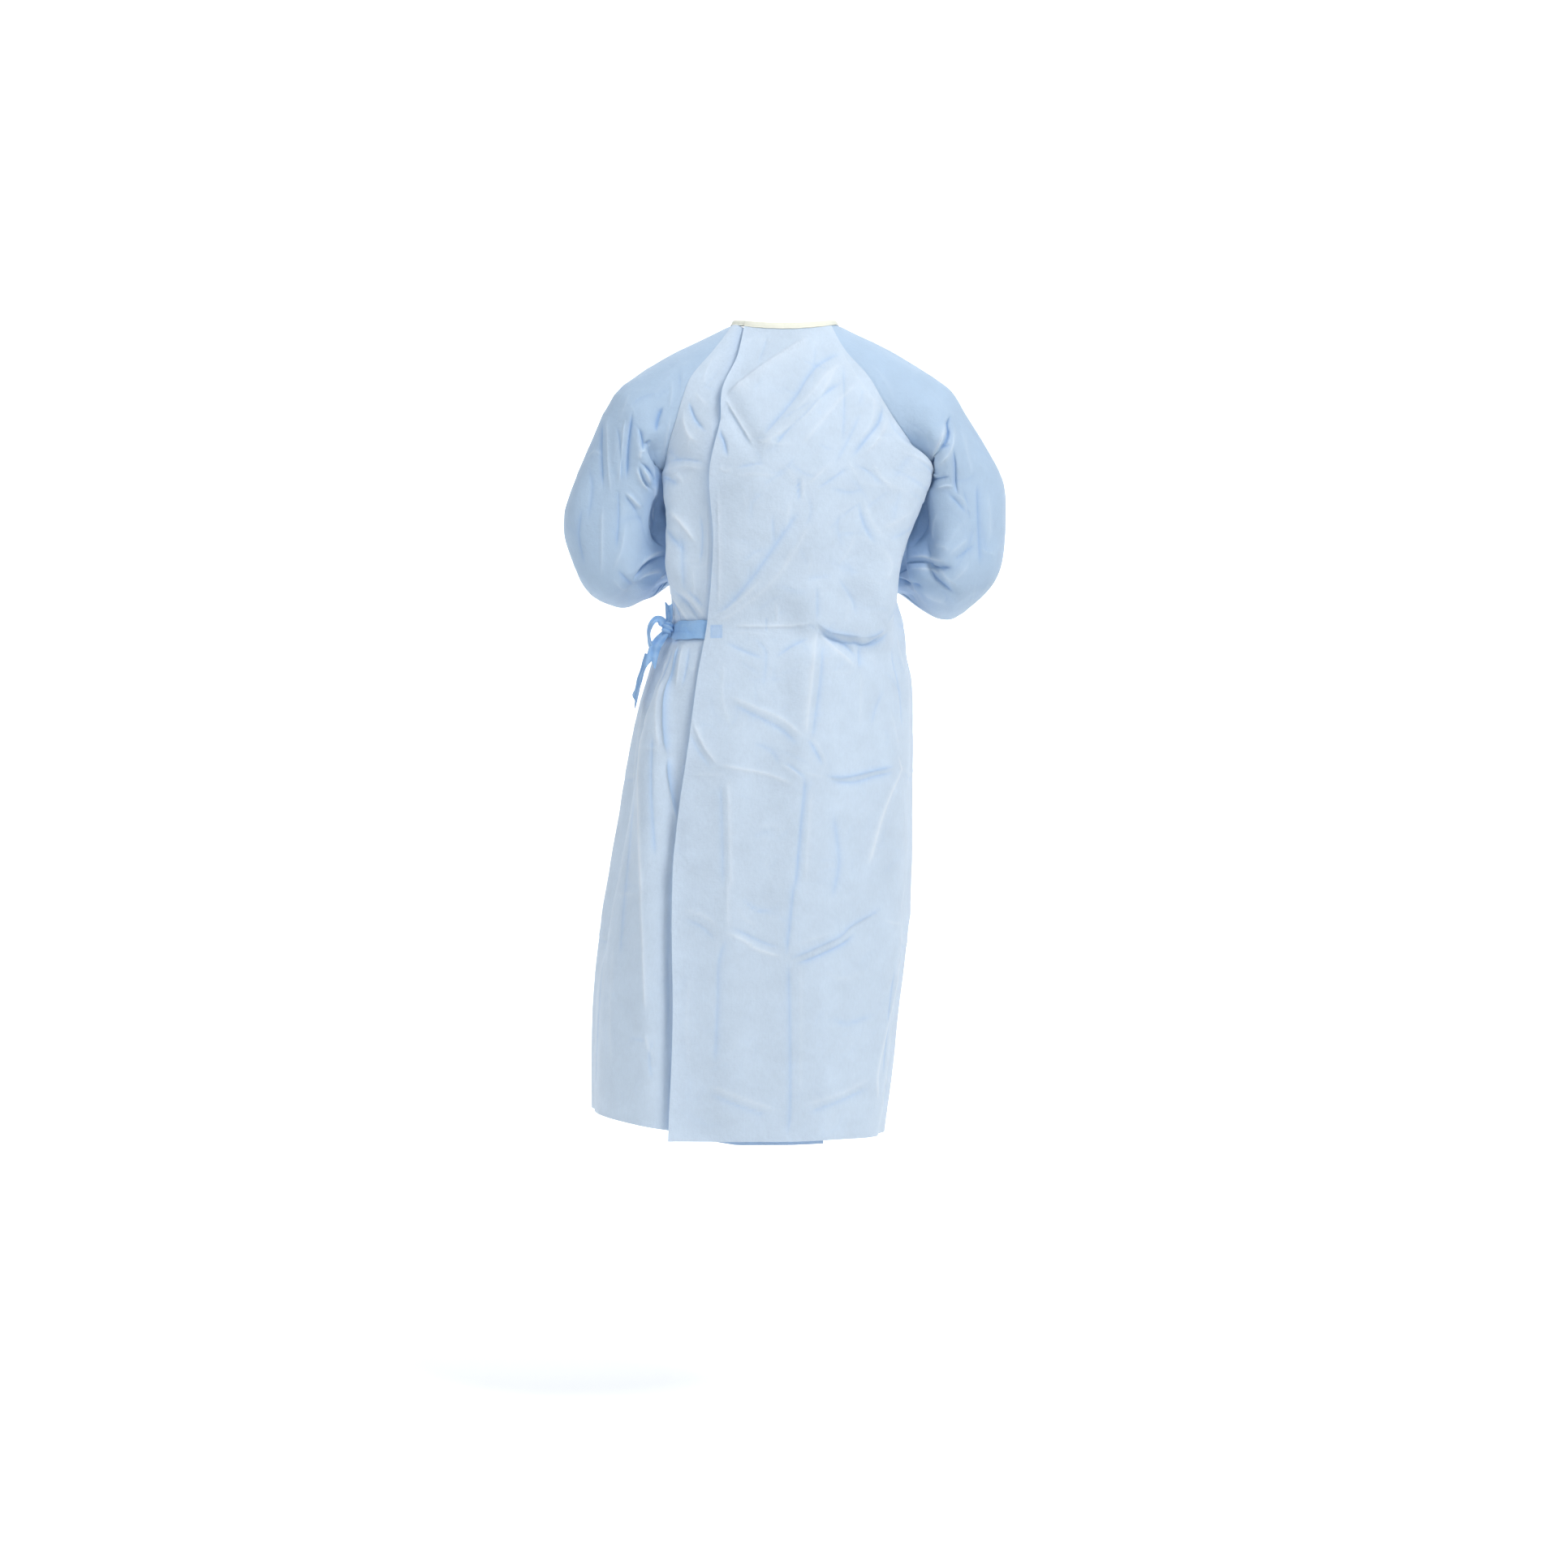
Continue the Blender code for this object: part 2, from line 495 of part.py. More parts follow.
def arm_rings(side, turns):
    """The rings of the table: ovals that fan round the armpit and then stand square to the arm, pressed in on
    the inside of the elbow and hanging a little on the underside. Returns them and the arm's directions."""
    columns = table(SLEEVE_COLUMNS, SLEEVE_ROWS[side])
    sign = 1 if side == "right" else -1
    line = np.stack([columns["x"], columns["y"], columns["z"]], axis=-1)
    direction = unit(np.gradient(line, axis=0))
    bend = np.gradient(direction, axis=0)
    turn = 2 * math.pi * turns
    rings = []
    for k, middle in enumerate(line):
        lean = math.radians(columns["lean"][k])
        outward = np.array([sign * math.cos(lean), 0.0, math.sin(lean)])
        outward = unit(outward - columns["squared"][k] * direction[k] * (outward @ direction[k]))
        backward = unit(np.cross(direction[k], outward)) * sign
        exponent = 2 / columns["square"][k]
        spoke = power(np.cos(turn), exponent)[:, None] * outward * columns["wide"][k]
        spoke = spoke + power(np.sin(turn), exponent)[:, None] * backward * columns["deep"][k]
        inside = np.maximum(unit(spoke) @ unit(bend[k]), 0.0) * min(1.0, np.linalg.norm(bend[k]) * 2)
        spoke = spoke * (1 - CROOK * columns["squared"][k] * inside)[:, None]
        ring = middle + spoke
        ring[:, 2] -= columns["sag"][k] * np.maximum(-unit(spoke)[:, 2], 0.0)
        rings.append(ring)
    return np.array(rings), direction


def sleeve_form(side, turns):
    """A whole sleeve: each line along it is a smooth curve from its point of the armhole through the rings."""
    rings = arm_rings(side, turns)[0]
    loop = armhole(side, turns)
    leaving = unit(rings[0] - loop)
    stations = np.concatenate([(loop + leaving * SEAM_PULL)[None], rings])
    knots = np.concatenate([[0.0], np.cumsum(np.linalg.norm(np.diff(stations, axis=0), axis=-1).mean(axis=1))])
    return curve_through(np.linspace(0.0, knots[-1], SLEEVE_LENGTHWISE), knots, stations)


def sleeve_folds(grid, turns, along):
    """How far out a sleeve's folds move each point: bells across each line, fading out at its seam and cuff."""
    columns = table(SLEEVE_FOLD_COLUMNS, SLEEVE_FOLDS)
    size = np.array([SLEEVE_GIRTH, SLEEVE_LENGTH])
    total = np.zeros(grid.shape[:2])
    for i in range(len(SLEEVE_FOLDS)):
        start = np.array([columns["around_top"][i], columns["along_top"][i]]) * size
        step = np.array([columns["around_bottom"][i], columns["along_bottom"][i]]) * size - start
        run = np.hypot(*step)
        for turn in (-1, 0, 1):
            across = (turns[None, :] + turn) * SLEEVE_GIRTH - start[0]
            down = along[:, None] * SLEEVE_LENGTH - start[1]
            t = (across * step[0] + down * step[1]) / run
            off = (across * step[1] - down * step[0]) / run
            past = np.maximum(np.maximum(-t, t - run), 0.0)
            width = columns["width"][i]
            total += columns["depth"][i] * np.exp(-(off**2) / (2 * width**2) - past**2 / (8 * width**2))
    return total * (smoothstep(along / 0.12) * smoothstep((1 - along) / 0.06))[:, None]


def sleeve(side):
    turns = sleeve_turns()
    grid = sleeve_form(side, turns)
    along = np.linspace(0.0, 1.0, len(grid))
    sign = 1 if side == "right" else -1
    return grid + normals_of(grid, closed=True) * (sign * sleeve_folds(grid, turns, along))[..., None]


def cuff(side):
    """The knitted cuff: it starts at the sleeve's end and narrows to grip the wrist."""
    rings, direction = arm_rings(side, np.arange(CUFF_AROUND) / CUFF_AROUND)
    last, heading = rings[-1], direction[-1]
    middle = last.mean(axis=0)
    radius = SLEEVE_ROWS[side][-1][4]
    grid = []
    for share in np.linspace(0.0, 1.0, CUFF_ALONG):
        size = (CUFF_WRIST + (radius * CUFF_START - CUFF_WRIST) * (1 - smoothstep(share / CUFF_GRIP))) / radius
        grid.append(middle + (last - middle) * size + heading * (CUFF_GAP + CUFF_LENGTH * share))
    return np.array(grid)


def neck_binding():
    """The strip folded over the raw edge of the neck, from the outer free edge right round to the inner one."""
    first = angle_at(WRAP_ROWS[-1][1], NECK)
    last = 2 * math.pi + angle_at(WRAP_ROWS[-1][2], NECK)
    angles = np.linspace(first, last, BINDING_AROUND)
    edge = body_form(angles, NECK)
    outward = unit(edge * np.array([1.0, 1.0, 0.0]))
    under_from = 2 * math.pi + seam_angle("left", "back", np.array([NECK]))[0]
    under_at = 2 * math.pi + first
    tuck = WRAP_ROWS[-1][3] * smoothstep((angles - under_from) / (under_at - under_from))
    middle_of_wall = edge - outward * (CLOTH / 2 + tuck)[:, None]
    up = unit(np.array([0.0, 0.0, 1.0]) - BINDING_LEAN * outward)
    lift = np.array([SEAM_PULL * 1.5, 0.5 * BINDING_HEIGHT, BINDING_HEIGHT])
    return middle_of_wall[None] + up[None] * lift[:, None, None]


def tie_band(skin, first, last, count):
    """A tie lying on the cloth: the cloth's own points at the tie's height, moved out."""
    angles = np.linspace(first, last, count)
    heights = TIE_HEIGHT + np.linspace(-0.5, 0.5, TIE_UPRIGHT) * TIE_WIDTH
    points, normal = skin(*np.meshgrid(angles, heights))
    return points + normal * (TIE_CLEAR + CLOTH)


def knot_middle():
    point, normal = body_skin(np.array([KNOT_ANGLE]), np.array([TIE_HEIGHT + KNOT_ABOVE]))
    return point[0] + normal[0] * KNOT_OUT


def ribbon(rows, start):
    """A strip along a smooth line through the rows, rounded across by its curl."""
    columns = table(RIBBON_COLUMNS, rows)
    knots = np.arange(len(rows), dtype=float)
    at = np.linspace(0.0, knots[-1], 2 * len(rows))
    line = start + np.stack([curve_through(at, knots, columns[name]) for name in "xyz"], axis=-1)
    width, face, curl = (curve_through(at, knots, columns[name]) for name in ("width", "face", "curl"))
    tangent = unit(np.gradient(line, axis=0))
    flat = unit(np.cross(tangent, np.array([0.0, 1.0, 0.0])))
    away = np.cross(tangent, flat)
    turn = np.radians(face)[:, None]
    across, out = flat * np.cos(turn) + away * np.sin(turn), away * np.cos(turn) - flat * np.sin(turn)
    curl = np.radians(np.maximum(curl, 1.0))
    grid = []
    for share in np.linspace(-0.5, 0.5, 5):
        radius = width / curl
        grid.append(
            line
            + across * (radius * np.sin(curl * share))[:, None]
            + out * (radius * (1 - np.cos(curl * share)))[:, None]
        )
    return np.array(grid)


def add_object(name, finish, mesh):
    mesh.materials.append(bpy.data.materials[finish])
    mesh.shade_smooth()
    obj = bpy.data.objects.new(name, mesh)
    bpy.data.collections["surgical_gown"].objects.link(obj)
    return obj


def knot():
    """A rounded lump: a ball with its spokes squared, sized by KNOT_HALF."""
    ball = bmesh.new()
    bmesh.ops.create_uvsphere(ball, u_segments=12, v_segments=8, radius=1.0)
    middle = knot_middle()
    for vertex in ball.verts:
        vertex.co = middle + np.array(KNOT_HALF) * power(np.array(vertex.co), KNOT_SQUARED)
    mesh = bpy.data.meshes.new("tie_knot")
    ball.to_mesh(mesh)
    ball.free()
    add_object("tie_knot", "tie", mesh)


def cloth(name, finish, grid, thickness=CLOTH, closed=False, flip=False, offset=-1.0):
    """A named piece of cloth: four-sided faces over a grid of points, then its wall: on the inner side, or
    half on each with offset 0."""
    rows, columns = grid.shape[:2]
    spans = columns if closed else columns - 1
    faces = []
    for r in range(rows - 1):
        for c in range(spans):
            d = (c + 1) % columns
            corners = (r * columns + c, r * columns + d, (r + 1) * columns + d, (r + 1) * columns + c)
            faces.append(corners[::-1] if flip else corners)
    mesh = bpy.data.meshes.new(name)
    mesh.from_pydata(grid.reshape(-1, 3).tolist(), [], faces)
    wall = add_object(name, finish, mesh).modifiers.new("wall", "SOLIDIFY")
    wall.thickness = thickness
    wall.offset = offset
    wall.use_even_offset = False
    wall.use_quality_normals = True


def make_material(finish):
    material = bpy.data.materials.new(finish)
    material.use_nodes = True
    shader = material.node_tree.nodes["Principled BSDF"]
    shader.inputs["Base Color"].default_value = COLOURS[finish]
    shader.inputs["Roughness"].default_value = ROUGHNESS[finish]
    shader.inputs["Metallic"].default_value = 0.0
    material.diffuse_color = COLOURS[finish]


def start_scene():
    for obj in list(bpy.data.objects):
        bpy.data.objects.remove(obj)
    collection = bpy.data.collections.new("surgical_gown")
    bpy.context.scene.collection.children.link(collection)
    for finish in COLOURS:
        make_material(finish)


def main():
    start_scene()
    cloth("front_panel", "body", front_panel())
    cloth("back_panel_outer", "body", back_outer())
    cloth("back_panel_inner", "body", back_inner())
    for side in ("left", "right"):
        cloth("sleeve_" + side, "sleeve", sleeve(side), closed=True, flip=side == "left")
        cloth("cuff_" + side, "cuff", cuff(side), KNIT, closed=True, flip=side == "left")
    cloth("neck_binding", "binding", neck_binding(), BINDING_WALL, offset=0.0)

    height = np.array([TIE_HEIGHT])
    tucked = angle_at(np.array([TIE_TUCKED_END]), height)[0]
    front_end = -math.pi - angle_at(np.array([TIE_FRONT_END]), height)[0]
    cloth("tie_back", "tie", tie_band(inner_skin, KNOT_ANGLE + TIE_BACK_STOP, tucked, TIE_BACK_ALONG))
    cloth("tie_front", "tie", tie_band(body_skin, front_end, KNOT_ANGLE - TIE_FRONT_STOP, TIE_FRONT_ALONG))
    knot()
    for name, rows in RIBBONS.items():
        cloth(name, "tie", ribbon(rows, knot_middle()), offset=0.0)


main()
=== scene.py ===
"""Surgical gown, worn and seen from its back: the look of each piece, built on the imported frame.

Metres, +Z up. -Y is the gown's back and +X the wearer's right. Each section below makes one piece, or a
group of like pieces, in the order in which the gown is put together; a function is defined where it is
first needed.
"""

import math

import bpy
import numpy as np
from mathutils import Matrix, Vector


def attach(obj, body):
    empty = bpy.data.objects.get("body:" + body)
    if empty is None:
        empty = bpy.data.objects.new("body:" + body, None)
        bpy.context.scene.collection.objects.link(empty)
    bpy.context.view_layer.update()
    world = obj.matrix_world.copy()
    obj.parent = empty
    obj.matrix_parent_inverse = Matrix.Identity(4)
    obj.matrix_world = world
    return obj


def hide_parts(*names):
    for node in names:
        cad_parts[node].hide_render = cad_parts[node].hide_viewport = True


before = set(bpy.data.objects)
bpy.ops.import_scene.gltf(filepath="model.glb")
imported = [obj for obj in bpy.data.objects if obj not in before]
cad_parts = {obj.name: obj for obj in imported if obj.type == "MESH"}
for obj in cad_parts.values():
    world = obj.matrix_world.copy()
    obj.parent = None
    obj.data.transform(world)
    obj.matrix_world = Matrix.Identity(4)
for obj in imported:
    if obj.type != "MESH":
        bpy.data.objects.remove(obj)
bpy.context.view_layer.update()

# --------------------------------------------------------------------------------------------------- studio
# A pale floor that sweeps up, far behind the gown, into a backdrop that glows a little, one soft light high
# on the right, a wide fill on the left and a soft light from above and behind. The camera is level, at the
# waist.
FLOOR = -1.575
STAGE_WHITE, STAGE_PALE = (0.90, 0.89, 0.88, 1.0), (0.93, 0.92, 0.91, 1.0)
STAGE_MOTTLE, STAGE_ROUGH = 1.3, 0.9
STAGE_GLOW, GLOW_FROM, GLOW_TO = (0.17, 0.75), -0.2, 2.6  # from the floor round the gown to the backdrop
STAGE_HALF, STAGE_NEAR, SWEEP_START, SWEEP_RADIUS, STAGE_TOP = 16.0, -14.0, 6.5, 2.5, 11.0
WORLD_BLUE, WORLD_LIGHT = (0.81, 0.915, 1.0, 1.0), 0.40
LIGHTS = (  # place, aimed at, width, height, watts
    ((2.0, -2.3, 2.3), (0.0, 0.0, 0.0), 1.2, 1.2, 100.0),
    ((-2.4, -2.8, 2.1), (0.0, 0.0, 0.0), 2.0, 1.6, 44.0),
    ((0.0, 1.6, 2.6), (0.0, 0.0, -0.30), 3.0, 2.0, 30.0),
)
scene = bpy.context.scene
scene.view_settings.view_transform = "Standard"
scene.view_settings.look = "None"

camera = bpy.data.objects.new("camera", bpy.data.cameras.new("camera"))
camera.location = (0.0, -5.2, -0.668)
camera.rotation_euler = (math.pi / 2, 0.0, 0.0)
camera.data.lens, camera.data.sensor_width = 82.1, 36.0
scene.collection.objects.link(camera)
scene.camera = camera

world = bpy.data.worlds.new("studio")
world.use_nodes = True
world.node_tree.nodes["Background"].inputs["Color"].default_value = WORLD_BLUE
world.node_tree.nodes["Background"].inputs["Strength"].default_value = WORLD_LIGHT
scene.world = world

for n, (place, aim, width, height, watts) in enumerate(LIGHTS):
    lamp = bpy.data.lights.new(f"softbox_{n}", "AREA")
    lamp.shape, lamp.size, lamp.size_y, lamp.energy = "RECTANGLE", width, height, watts
    lamp_object = bpy.data.objects.new(lamp.name, lamp)
    lamp_object.location = place
    lamp_object.rotation_euler = (Vector(aim) - Vector(place)).to_track_quat("-Z", "Y").to_euler()
    scene.collection.objects.link(lamp_object)


def wired(tree, node, sockets, **settings):
    """A shader node, made new where its kind is given in place of a node: its settings made, and each of
    its sockets set to a value or linked to the output that feeds it."""
    if isinstance(node, str):
        node = tree.nodes.new("ShaderNode" + node)
    for name, value in settings.items():
        setattr(node, name, value)
    for name, value in sockets.items():
        if isinstance(value, bpy.types.NodeSocket):
            tree.links.new(value, node.inputs[name])
        else:
            node.inputs[name].default_value = value
    return node


def new_material(name):
    """A material, its node tree, its surface shader, and the outputs that tell where a point lies."""
    material = bpy.data.materials.new(name)
    material.use_nodes = True
    tree = material.node_tree
    return material, tree, tree.nodes["Principled BSDF"], tree.nodes.new("ShaderNodeTexCoord").outputs


def remap(tree, value, low, high, to_low, to_high):
    """The value moved in proportion from one range to another."""
    sockets = {"Value": value, "From Min": low, "From Max": high, "To Min": to_low, "To Max": to_high}
    return wired(tree, "MapRange", sockets).outputs["Result"]


def blend(tree, factor, a, b, mode="MIX"):
    """Two colours mixed by a factor."""
    sockets = {"Factor": factor, "A": a, "B": b}
    return wired(tree, "Mix", sockets, data_type="RGBA", blend_type=mode).outputs["Result"]


stage_material, tree, paper, place = new_material("studio_paper")
mottle = wired(tree, "TexNoise", {"Scale": STAGE_MOTTLE, "Vector": place["Object"]}).outputs["Fac"]
depth = wired(tree, "SeparateXYZ", {"Vector": place["Object"]}).outputs["Y"]
wired(tree, paper, {
    "Base Color": blend(tree, mottle, STAGE_WHITE, STAGE_PALE),
    "Roughness": STAGE_ROUGH,
    "Emission Color": (1.0, 1.0, 1.0, 1.0),
    "Emission Strength": remap(tree, depth, GLOW_FROM, GLOW_TO, *STAGE_GLOW),
})

sweep = np.linspace(0.0, math.pi / 2, 25)
profile_y = np.concatenate([[STAGE_NEAR, 0.0], SWEEP_START + SWEEP_RADIUS * np.append(np.sin(sweep), 1.0)])
profile_z = np.concatenate([[0.0, 0.0], SWEEP_RADIUS * (1.0 - np.cos(sweep)), [STAGE_TOP]]) + FLOOR
stage_x = np.array([-STAGE_HALF, STAGE_HALF])
stage_points = np.stack(
    [np.tile(stage_x, len(profile_y)), np.repeat(profile_y, 2), np.repeat(profile_z, 2)], axis=-1
)
corner = 2 * np.arange(len(profile_y) - 1)
stage_faces = np.stack([corner, corner + 1, corner + 3, corner + 2], axis=-1)
stage_mesh = bpy.data.meshes.new("studio_sweep")
stage_mesh.from_pydata(stage_points.tolist(), [], stage_faces.tolist())
stage_mesh.shade_smooth()
stage_mesh.materials.append(stage_material)
stage = bpy.data.objects.new("studio_sweep", stage_mesh)
scene.collection.objects.link(stage)

# ---------------------------------------------------------------------------------------------- front panel
# The front and both sides, cut in one from light blue spunbond nonwoven about 0.3 mm thick, with a raw
# heat-cut hem. It is sewn to the back panels down the sides and to the sleeves along the raglan seams, and
# it hangs from the neck.
SQUARENESS = 2.4  # of the body's outline from above: 2 is an ellipse
BODY_RADIUS = 0.17  # that turns an angle round the body into a length


def table(names, rows):
    """The rows of a table, one to a line, as one array for each named column."""
    return dict(zip(names.split(), np.array([row.split() for row in rows.strip().splitlines()], float).T))


def crease_table(rows):
    """Creases in mm, one to a line: the points (across, height) along it, and after the bar how far it
    reaches ahead (to the right of one going down, above one going right) and behind, its depth, negative
    for a trough, and the strength of its painted shade (negative) or painted highlight (positive) where
    that isn't in proportion to the depth."""
    halves = [[half.split() for half in row.split("|")] for row in rows.strip().splitlines()]
    return [([float(n) for n in points], *(float(n) for n in rest)) for points, rest in halves]


# The body's outline at each height of the centre back, from the hem up to the neck.
BODY = table("height side_rise front_drop middle half_width back front", """
-1.172 0.000 0.000 -0.0675 0.2125 0.165 0.176
-1.080 0.000 0.000 -0.0610 0.2190 0.162 0.172
-1.000 0.000 0.000 -0.0560 0.2210 0.160 0.168
-0.850 0.000 0.000 -0.0400 0.2225 0.156 0.160
-0.720 0.000 0.000 -0.0280 0.2170 0.151 0.154
-0.620 0.000 0.000 -0.0195 0.2085 0.144 0.148
-0.560 0.000 0.000 -0.0140 0.1990 0.136 0.142
-0.500 0.000 0.000 -0.0060 0.1870 0.127 0.135
-0.440 0.000 0.000  0.0040 0.1730 0.117 0.128
-0.380 0.000 0.000 -0.0010 0.1610 0.128 0.133
-0.320 0.000 0.000  0.0040 0.1620 0.137 0.136
-0.270 0.000 0.000  0.0140 0.1720 0.139 0.133
-0.222 0.000 0.000  0.0155 0.1905 0.138 0.128
-0.150 0.002 0.012  0.0060 0.2120 0.128 0.116
-0.090 0.006 0.030  0.0020 0.2280 0.110 0.103
-0.045 0.009 0.045  0.0010 0.1560 0.090 0.094
-0.014 0.012 0.060  0.0010 0.0770 0.071 0.086
""")
HEM, ARMPIT, NECK = BODY["height"][[0, 12, -1]]

# The raglan seams, from the armpit up to the neck, as distances from the centre line.
RAGLAN = table("height back_left back_right front_left front_right", """
-0.222 -0.1750 0.2060 -0.175 0.206
-0.204 -0.1725 0.2000 -0.169 0.193
-0.180 -0.1650 0.1820 -0.160 0.174
-0.150 -0.1545 0.1590 -0.149 0.154
-0.120 -0.1455 0.1400 -0.136 0.137
-0.088 -0.1330 0.1215 -0.119 0.119
-0.050 -0.1020 0.0890 -0.092 0.092
-0.014 -0.0740 0.0680 -0.064 0.064
""")

# The largest folds on each face, each from (across, height) to (across, height): x on back and front, y on
# the sides.
FOLD_COLUMNS = "across_top top across_bottom bottom width depth"
FOLDS = {
    "back": """
 0.021 -0.034 -0.080 -0.112 0.013  0.007
-0.080 -0.124 -0.048 -0.180 0.009 -0.005
 0.078 -0.060 -0.040 -0.235 0.016  0.005
 0.125 -0.110  0.050 -0.300 0.018  0.005
 0.150 -0.190  0.095 -0.330 0.014 -0.005
 0.168 -0.330  0.112 -0.450 0.018  0.011
 0.030 -0.405  0.115 -0.440 0.018  0.005
 0.040 -0.462  0.112 -0.482 0.012 -0.007
 0.039 -0.450  0.027 -0.640 0.017  0.007
 0.150 -0.640  0.104 -0.790 0.013  0.006
-0.078 -0.640 -0.074 -1.120 0.020  0.004
 0.022 -0.680  0.008 -1.172 0.022  0.005
 0.148 -0.900  0.118 -1.172 0.014  0.008
-0.198 -0.560 -0.176 -1.172 0.018  0.010
-0.163 -0.490 -0.154 -0.740 0.008 -0.003
""",
    "front": """
 0.085 -0.11  0.030 -0.400 0.018  0.006
-0.088 -0.12 -0.035 -0.390 0.018  0.006
 0.010 -0.30 -0.100 -0.430 0.014  0.005
-0.120 -0.49 -0.150 -1.172 0.024  0.012
-0.050 -0.52 -0.065 -1.172 0.022 -0.010
 0.022 -0.52  0.020 -1.172 0.026  0.011
 0.085 -0.56  0.070 -1.172 0.020 -0.008
 0.130 -0.50  0.110 -1.172 0.018  0.008
""",
    "right": """
-0.080 -0.20 -0.085 -0.370 0.026  0.029
-0.055 -0.40 -0.060 -0.470 0.020 -0.012
 0.030 -0.30  0.010 -0.470 0.016 -0.007
 0.020 -0.52 -0.010 -1.172 0.020  0.007
-0.070 -0.90 -0.075 -1.172 0.012  0.006
""",
    "left": """
-0.062 -0.262 -0.062 -0.350 0.018  0.022
 0.030 -0.300  0.000 -0.430 0.014 -0.006
-0.005 -0.470  0.040 -1.172 0.018  0.009
-0.050 -0.470 -0.030 -0.900 0.014 -0.007
""",
}
FACE_OUTWARD = {"back": (0, -1), "front": (0, 1), "right": (1, 0), "left": (-1, 0)}

FRONT_CREASES = crease_table("""
40 -75 70 -150 96 -205 | 4.8 20 1.6
-38 -75 -70 -150 -98 -200 | 20 4.8 1.6
110 -130 60 -220 10 -300 | 6 20 -2
-112 -135 -64 -215 -20 -290 | 20 6 -1.8
120 -190 84 -250 40 -290 | 4.2 17 1.6
-118 -190 -80 -250 -44 -286 | 17 4.2 1.4
-60 -250 0 -268 66 -250 | 15.3 3.6 1.2
-54 -262 4 -280 60 -262 | 3.6 15.3 -1.1
-20 -90 -16 -160 -22 -230 | 11.9 3 0.9
24 -100 20 -170 30 -240 | 3 11.9 -0.7
130 -300 100 -352 84 -400 | 17 3.6 1.6
-126 -300 -100 -350 -88 -400 | 3.6 17 1.6
-128 -436 -60 -428 0 -432 70 -426 130 -434 | 17 2.4 2.2
-120 -462 -50 -470 10 -462 90 -470 | 3 17 -1.8
-110 -460 -104 -520 -112 -600 | 3.6 15.3 1.8
-60 -462 -66 -520 -60 -590 | 13.6 3.6 -1.4
-8 -466 -4 -530 -12 -640 | 4.8 20 1.8
52 -466 46 -540 54 -620 | 17 4.2 -1.4
100 -462 108 -540 98 -620 | 4.2 15.3 1.6
-150 -640 -80 -655 0 -640 | 3 13.6 1.8
0 -640 70 -652 148 -636 | 3 13.6 1.6
-146 -650 -84 -664 -8 -650 | 2.4 13.6 -1.2
6 -650 74 -661 140 -646 | 2.4 13.6 -1.2
0 -650 4 -760 -2 -860 | 5.4 15.3 -1.6
-82 -662 -86 -760 -80 -850 | 20 3.6 1.4
86 -660 82 -760 90 -860 | 3.6 20 1.4
-156 -880 -80 -896 -4 -884 | 3 13.6 2
-4 -884 80 -898 150 -878 | 3 13.6 2
-148 -890 -82 -905 -10 -894 | 2.4 13.6 -1.4
2 -894 80 -907 142 -888 | 2.4 13.6 -1.4
-2 -900 4 -1000 0 -1120 | 17 5.4 -1.6
-84 -906 -90 -1010 -84 -1130 | 20 6 -1.2
88 -906 84 -1010 92 -1130 | 5.4 20 1.2
-150 -1090 -80 -1108 0 -1096 | 3.6 13.6 1.4
0 -1096 80 -1110 140 -1090 | 3.6 13.6 1.4
-180 -560 -176 -700 -184 -900 | 17 4.8 1.6
176 -560 170 -700 178 -900 | 4.8 17 -1.4
""")
SIDE_CREASES = crease_table("""
-60 -240 -20 -300 10 -360 | 4.8 17 1.6
50 -240 20 -310 -6 -370 | 17 4.8 -1.6
-70 -380 -20 -400 40 -392 | 3.6 13.6 1.4
60 -420 10 -440 -50 -436 | 13.6 3 -1.2
-30 -470 -24 -560 -36 -680 | 4.8 17 1.8
30 -470 40 -570 28 -700 | 17 4.2 -1.6
-80 -640 -20 -652 60 -640 | 3 11.9 0.6
-70 -650 -16 -660 50 -650 | 2.4 13.6 -0.6
0 -660 8 -780 -4 -880 | 15.3 5.4 1.4
-86 -884 -10 -898 70 -882 | 3 13.6 0.7
-70 -893 -6 -906 60 -891 | 2.4 13.6 -0.6
44 -900 52 -1010 40 -1150 | 17 4.8 1.6
-40 -905 -48 -1020 -38 -1140 | 4.8 20 -1.4
-90 -1080 -10 -1098 70 -1084 | 3.6 13.6 0.6
""")
TURN_CREASES = crease_table("""
-84 -626 -77 -640 -66 -654 | 3 4 2.4 4.4
-68 -640 -97 -680 -113 -726 -124 -788 | 5 7 3.4 4.2
-43 -808 -68 -855 | 2.4 10.2 1.4
-29 -906 -61 -945 -79 -1003 -96 -1077 -87 -1125 | 5 5 3.2 4
-45 -971 -55 -1063 -49 -1158 | 4 5 2.6 3.2
-79 -927 -81 -1008 -81 -1088 | 4 4.8 -1.7
-67 -465 -62 -522 -65 -592 | 10.2 3.6 -1.2
-56 -442 -41 -483 -34 -534 | 2.4 8.5 1.8
-87 -557 -82 -596 -81 -626 | 3 10.2 1.2
""")
RIGHT_CREASES = TURN_CREASES + SIDE_CREASES
FRONT_DRAWN = {"front": FRONT_CREASES, "right": RIGHT_CREASES, "left": SIDE_CREASES}
CRUMPLES = {"back": (11, 620), "front": (12, 560), "right": (13, 210), "left": (14, 210)}  # seed, count


